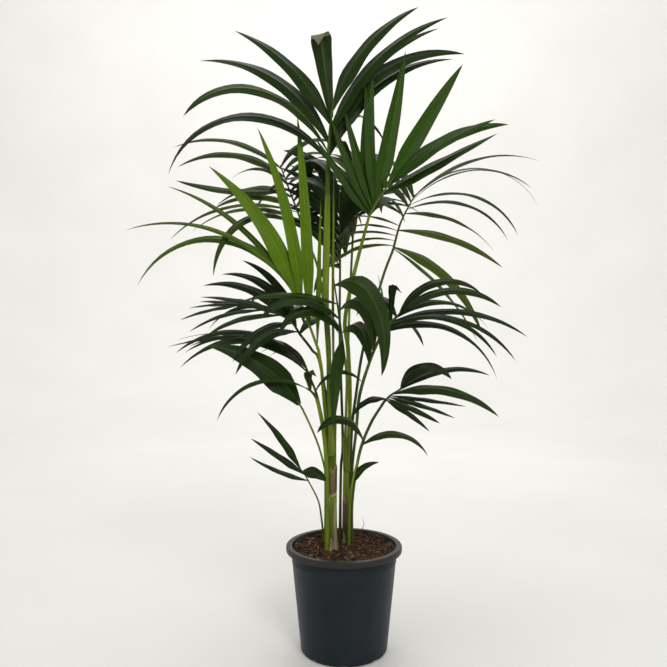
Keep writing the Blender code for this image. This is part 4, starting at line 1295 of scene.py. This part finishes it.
@dataclass(frozen=True)
class Pot:
    """The round nursery pot: tapered wall, rolled rim and drain notches at its foot."""
    rim_radius: float = 0.120
    rim_height: float = 0.0115
    rim_roll: float = 0.0030
    height: float = 0.215
    neck_radius: float = 0.1095
    foot_radius: float = 0.0895
    foot_round: float = 0.006
    wall: float = 0.0025
    floor: float = 0.0075
    bead_height: float = 0.0016
    bead_drop: float = 0.020
    bead_stand: float = 0.0006
    neck_drop: float = 0.0005
    lip_under: float = 0.5
    lip_inner: float = 0.8
    foot_lean: float = -6.0
    angle: float = 35.0
    notches: int = 8
    notch_size: Spot = (0.018, 0.02, 0.010)
    sides: int = 128
    arc_steps: int = 5

    def wall_radius(self, height: float) -> float:
        """Outer radius of the wall at a height below the rim."""
        rise = height / (self.height - self.rim_height)
        return self.foot_radius + (self.neck_radius - self.foot_radius) * rise

    def arc(self, centre: Place, radius: float, start: float, stop: float) -> list[Place]:
        """Points (radius, height) on an arc of the profile, from start to stop in degrees."""
        turns = [math.radians(start + (stop - start) * k / self.arc_steps)
                 for k in range(self.arc_steps + 1)]
        return [(centre[0] + radius * math.cos(a), centre[1] + radius * math.sin(a))
                for a in turns]

    def profile(self) -> list[Place]:
        """The pot's half section, from the middle of its underside to its inner floor."""
        under = self.height - self.rim_height
        roll = self.rim_roll
        low = roll * self.lip_under
        inner = roll * self.lip_inner
        bead = under - self.bead_drop
        return [
            (0.0, 0.0),
            *self.arc((self.foot_radius - self.foot_round, self.foot_round), self.foot_round,
                      -90.0, self.foot_lean),
            (self.wall_radius(bead - self.bead_height), bead - self.bead_height),
            (self.wall_radius(bead) + self.bead_stand, bead),
            (self.wall_radius(bead + self.bead_height), bead + self.bead_height),
            (self.neck_radius, under + self.neck_drop),
            *self.arc((self.rim_radius - low, under + low), low, -90.0, 0.0),
            *self.arc((self.rim_radius - roll, self.height - roll), roll, 0.0, 90.0),
            *self.arc((self.neck_radius, self.height - inner), inner, 90.0, 180.0),
            (self.neck_radius - self.wall, under),
            (self.wall_radius(self.floor) - self.wall, self.floor),
            (0.0, self.floor),
        ]

    def build(self) -> None:
        """Makes the pot by turning its profile, then cuts the notches."""
        pot = turned("nursery_pot", self.profile(), self.sides)
        self.cut_notches(pot)
        pot.data.materials.clear()
        pot.data.materials.append(POT_PLASTIC.material())
        pot.data.materials.append(RIM_REFLECTION_PLASTIC.material())
        # Faces of the rim take the lighter rim finish, a painted reflection
        for face in pot.data.polygons:
            face.material_index = int(face.center.z > self.height - self.rim_height)
        smooth(pot, self.angle)
        settle(pot, "pot", "pot")

    def cut_notches(self, pot: bpy.types.Object) -> None:
        """Cuts the drain notches out of the foot.

        Args:
            pot: The turned pot.
        """
        cutters = []
        for k in range(self.notches):
            turn = 2 * math.pi * (k + 1) / self.notches
            place = Vector((math.sin(turn), -math.cos(turn), 0.0)) * self.foot_radius
            bpy.ops.mesh.primitive_cube_add(size=1.0, location=place, rotation=(0, 0, turn))
            block = bpy.context.active_object
            block.scale = self.notch_size
            bpy.ops.object.transform_apply(location=True, rotation=True, scale=True)
            cutters.append(block)
        bpy.ops.object.select_all(action="DESELECT")
        for block in cutters:
            block.select_set(True)
        bpy.context.view_layer.objects.active = cutters[0]
        bpy.ops.object.join()
        cutter = bpy.context.active_object
        cut = pot.modifiers.new("notches", "BOOLEAN")
        cut.operation = "DIFFERENCE"
        cut.solver = "EXACT"
        cut.object = cutter
        bpy.context.view_layer.objects.active = pot
        bpy.ops.object.modifier_apply(modifier="notches")
        bpy.data.objects.remove(cutter)


@dataclass(frozen=True)
class Mix:
    """The growing mix: a rough surface, bark chips and coir threads.

    The swell is one slow wave along x times one along y, each with its start. Each of the waves
    has its share, its turns along x and along y, and its start.
    """
    radius: float = 0.1055
    level: float = 0.2062
    rough: float = 0.0012
    swell: Row = (61.0, 9.0, 53.0, 4.0)
    waves: tuple[Row, ...] = ((0.5, 131.0, -97.0, 0.0), (0.35, 83.0, 187.0, 2.0))
    edge_from: float = 0.075
    edge_rise: float = 0.0055
    grit: float = 0.0007
    rings: int = 44
    sides: int = 132
    depth: float = 0.030
    angle: float = 70.0
    margin: float = 0.004
    chips: int = 3400
    chip_length: tuple[float, float] = (0.003, 0.013)
    chip_width: tuple[float, float] = (0.22, 0.6)
    chip_thickness: tuple[float, float] = (0.12, 0.3)
    chip_lift: float = 0.4
    chip_pitch: float = 0.30
    chip_bank: float = 0.45
    chip_skew: float = 0.12
    chip_slip: float = 0.2
    chip_ends: tuple[Place, ...] = ((-0.5, 0.45), (-0.32, 1.0), (0.28, 0.9), (0.5, 0.35))
    chip_corners: tuple[Place, ...] = ((-0.5, -0.5), (0.5, -0.5), (0.5, 0.5), (-0.5, 0.5))
    chip_kinds: tuple[int, ...] = (46, 30, 16, 8)
    chip_angle: float = 25.0
    threads: int = 520
    thread_length: tuple[float, float] = (0.008, 0.030)
    thread_steps: int = 6
    thread_curl: float = 0.5
    thread_arch: float = 0.0018
    thread_lift: float = 0.0012
    thread_radius: float = 0.00022
    thread_margin: float = 0.003
    strand_angle: float = 60.0
    wisp: tuple[Row, ...] = ((0.0420, 0.094, 0.2020, 0.0006), (0.0425, 0.095, 0.2200, 0.0006),
                             (0.0455, 0.095, 0.2310, 0.0005), (0.0420, 0.096, 0.2440, 0.0003))
    seed: int = 5

    def height(self, x: float, y: float) -> float:
        """Height of the surface at a place."""
        x_turns, x_start, y_turns, y_start = self.swell
        bumps = math.sin(x_turns * x + x_start) * math.sin(y_turns * y + y_start)
        bumps += sum(share * math.sin(along * x + over * y + start)
                     for share, along, over, start in self.waves)
        edge = max(0.0, (math.hypot(x, y) - self.edge_from) / (self.radius - self.edge_from))
        return self.level + self.rough * bumps + self.edge_rise * edge ** 2

    def build(self) -> None:
        """Makes the surface, the chips, the threads and the wisp."""
        self.build_surface()
        self.build_chips()
        self.build_threads()
        self.build_wisp()

    def build_surface(self) -> None:
        """Makes the body of the mix with its rough top."""
        rng = random.Random(self.seed)
        points = [Vector((0.0, 0.0, self.height(0.0, 0.0)))]
        for i in range(1, self.rings + 1):
            r = self.radius * i / self.rings
            for k in range(self.sides):
                a = 2 * math.pi * k / self.sides
                x = r * math.cos(a)
                y = r * math.sin(a)
                grit = rng.uniform(-self.grit, self.grit) if i < self.rings else 0.0
                points.append(Vector((x, y, self.height(x, y) + grit)))
        faces: list[Face] = [(0, 1 + k, 1 + (k + 1) % self.sides) for k in range(self.sides)]
        for i in range(self.rings - 1):
            base = 1 + i * self.sides
            for k in range(self.sides):
                j = (k + 1) % self.sides
                faces.append((base + k, base + self.sides + k, base + self.sides + j, base + j))
        rim = 1 + (self.rings - 1) * self.sides
        low = len(points)
        points += [Vector((p.x, p.y, self.level - self.depth)) for p in points[rim:]]
        for k in range(self.sides):
            j = (k + 1) % self.sides
            faces.append((rim + k, low + k, low + j, rim + j))
        faces.append(tuple(reversed(range(low, low + self.sides))))
        settle(one_piece("growing_mix", (points, faces), MIX_DARK, self.angle), "soil", "soil")

    def place(self, rng: random.Random) -> Vector:
        """A random place on the surface, even over its area."""
        r = (self.radius - self.margin) * math.sqrt(rng.random())
        a = rng.uniform(0.0, 2 * math.pi)
        x = r * math.cos(a)
        y = r * math.sin(a)
        return Vector((x, y, self.height(x, y)))

    def build_chips(self) -> None:
        """Makes the bark chips: split slivers with chamfered ends, laid at all angles."""
        rng = random.Random(self.seed + 1)
        bag = MeshBag()
        for _ in range(self.chips):
            long = rng.uniform(*self.chip_length) * rng.random() ** 0.5
            wide = long * rng.uniform(*self.chip_width)
            thick = long * rng.uniform(*self.chip_thickness)
            turn = (Matrix.Rotation(rng.uniform(0, 2 * math.pi), 3, "Z")
                    @ Matrix.Rotation(rng.gauss(0.0, self.chip_pitch), 3, "Y")
                    @ Matrix.Rotation(rng.gauss(0.0, self.chip_bank), 3, "X"))
            centre = self.place(rng) + self.chip_lift * thick * UP
            rings = []
            for x, size in self.chip_ends:
                skew = rng.uniform(-self.chip_skew, self.chip_skew)
                rings.append([centre + turn @ Vector((
                    long * (x + skew * self.chip_slip), wide * (size * a + skew), thick * size * b))
                    for a, b in self.chip_corners])
            points, faces = loft_faces(rings)
            kind = rng.choices(range(len(self.chip_kinds)), self.chip_kinds)[0]
            bag.add(points, faces, [kind] * len(faces))
        finishes = [MIX_DARK, BARK_BROWN, BARK_RED, BARK_PALE]
        settle(bag.build("bark_chips", finishes, self.chip_angle), "soil")

    def build_threads(self) -> None:
        """Makes the coir threads: thin curved strands that lie over the chips."""
        rng = random.Random(self.seed + 2)
        bag = MeshBag()
        for _ in range(self.threads):
            point = self.place(rng)
            heading = rng.uniform(0, 2 * math.pi)
            curl = rng.gauss(0.0, self.thread_curl)
            length = rng.uniform(*self.thread_length)
            rows = []
            for k in range(self.thread_steps + 1):
                arch = self.thread_arch * math.sin(math.pi * k / self.thread_steps)
                lift = self.height(point.x, point.y) + self.thread_lift + arch
                rows.append((point.x, point.y, lift, self.thread_radius))
                heading += curl / self.thread_steps
                way = Vector((math.cos(heading), math.sin(heading), 0.0))
                point = point + way * length / self.thread_steps
                point *= min(1.0, (self.radius - self.thread_margin) / math.hypot(point.x, point.y))
            points, faces = loft_faces(stalk_rings(rows, 4, 1))
            bag.add(points, faces, [0] * len(faces))
        settle(bag.build("coir_threads", [COIR], self.strand_angle), "soil")

    def build_wisp(self) -> None:
        """Makes the dry wisp that stands up out of the mix at the back."""
        wisp = loft_faces(stalk_rings(self.wisp, 8, 6))
        settle(one_piece("dry_wisp", wisp, COIR, self.strand_angle), "soil")


@dataclass(frozen=True)
class Softbox:
    """A square soft light and the point that it faces."""
    name: str
    place: Spot
    size: float
    power: float
    target: Spot = (0.0, 0.0, 0.75)

    def build(self) -> None:
        """Makes the light."""
        bpy.ops.object.light_add(type="AREA", location=self.place)
        light = bpy.context.active_object
        light.name = self.name
        light.data.size = self.size
        light.data.energy = self.power
        light.rotation_mode = "QUATERNION"
        way = Vector(self.target) - light.location
        light.rotation_quaternion = way.to_track_quat("-Z", "Y")


@dataclass(frozen=True)
class Studio:
    """The pale floor that sweeps up all round, the soft lights, and the photograph's camera."""
    frame_width: float = 667.0
    focal: float = 680.0
    sensor: float = 36.0
    camera_place: Spot = (-0.0218, -1.413, 0.652)
    floor_radius: float = 3.2
    sweep_radius: float = 2.6
    wall_height: float = 5.8
    floor_drop: float = 0.0005
    floor_angle: float = 60.0
    sweep_steps: int = 16
    floor_sides: int = 96
    world: Colour = (0.86, 0.85, 0.83)
    world_strength: float = 0.7
    lights: tuple[Softbox, ...] = (
        Softbox("key", (0.8, -2.4, 2.2), 1.0, 34.0),
        Softbox("fill", (-2.1, -1.7, 1.4), 1.8, 6.0),
        Softbox("top", (-0.3, 0.3, 3.0), 1.2, 8.0),
        Softbox("back", (0.4, 2.5, 1.9), 1.6, 4.0),
        Softbox("backdrop", (0.0, 2.2, 4.6), 2.4, 116.0, (0.0, 5.8, 1.0)),
    )

    def build(self) -> None:
        """Makes the stage, the lights and the camera."""
        self.build_floor()
        for light in self.lights:
            light.build()
        world = bpy.data.worlds.new("studio")
        bpy.context.scene.world = world
        world.use_nodes = True
        sky = world.node_tree.nodes["Background"]
        sky.inputs["Color"].default_value = (*self.world, 1.0)
        sky.inputs["Strength"].default_value = self.world_strength
        bpy.ops.object.camera_add(location=self.camera_place, rotation=(math.pi / 2, 0, 0))
        camera = bpy.context.active_object
        camera.data.sensor_width = self.sensor
        camera.data.lens = self.focal / self.frame_width * self.sensor
        bpy.context.scene.camera = camera
        bpy.context.scene.view_settings.view_transform = "Standard"
        LOG.info("studio ready")

    def build_floor(self) -> None:
        """Makes the floor, which curves up into a wall all round, so that no edge shows."""
        low = -self.floor_drop
        arc = [math.radians(90.0 * k / self.sweep_steps) for k in range(self.sweep_steps + 1)]
        profile = [(0.0, low), (self.floor_radius, low)]
        profile += [(self.floor_radius + self.sweep_radius * math.sin(a),
                     low + self.sweep_radius * (1.0 - math.cos(a))) for a in arc[1:]]
        profile.append((self.floor_radius + self.sweep_radius, self.wall_height))
        floor = turned("floor", profile, self.floor_sides)
        floor.data.materials.append(FLOOR_PALE.material())
        smooth(floor, self.floor_angle)


def main() -> None:
    """Builds the looks of the palm, piece by piece, and the studio round it."""
    logging.basicConfig(level=logging.INFO, format="%(message)s")
    Pot().build()
    Mix().build()
    Stems().build()
    Crown().build()
    Studio().build()


if __name__ == "__main__":
    main()
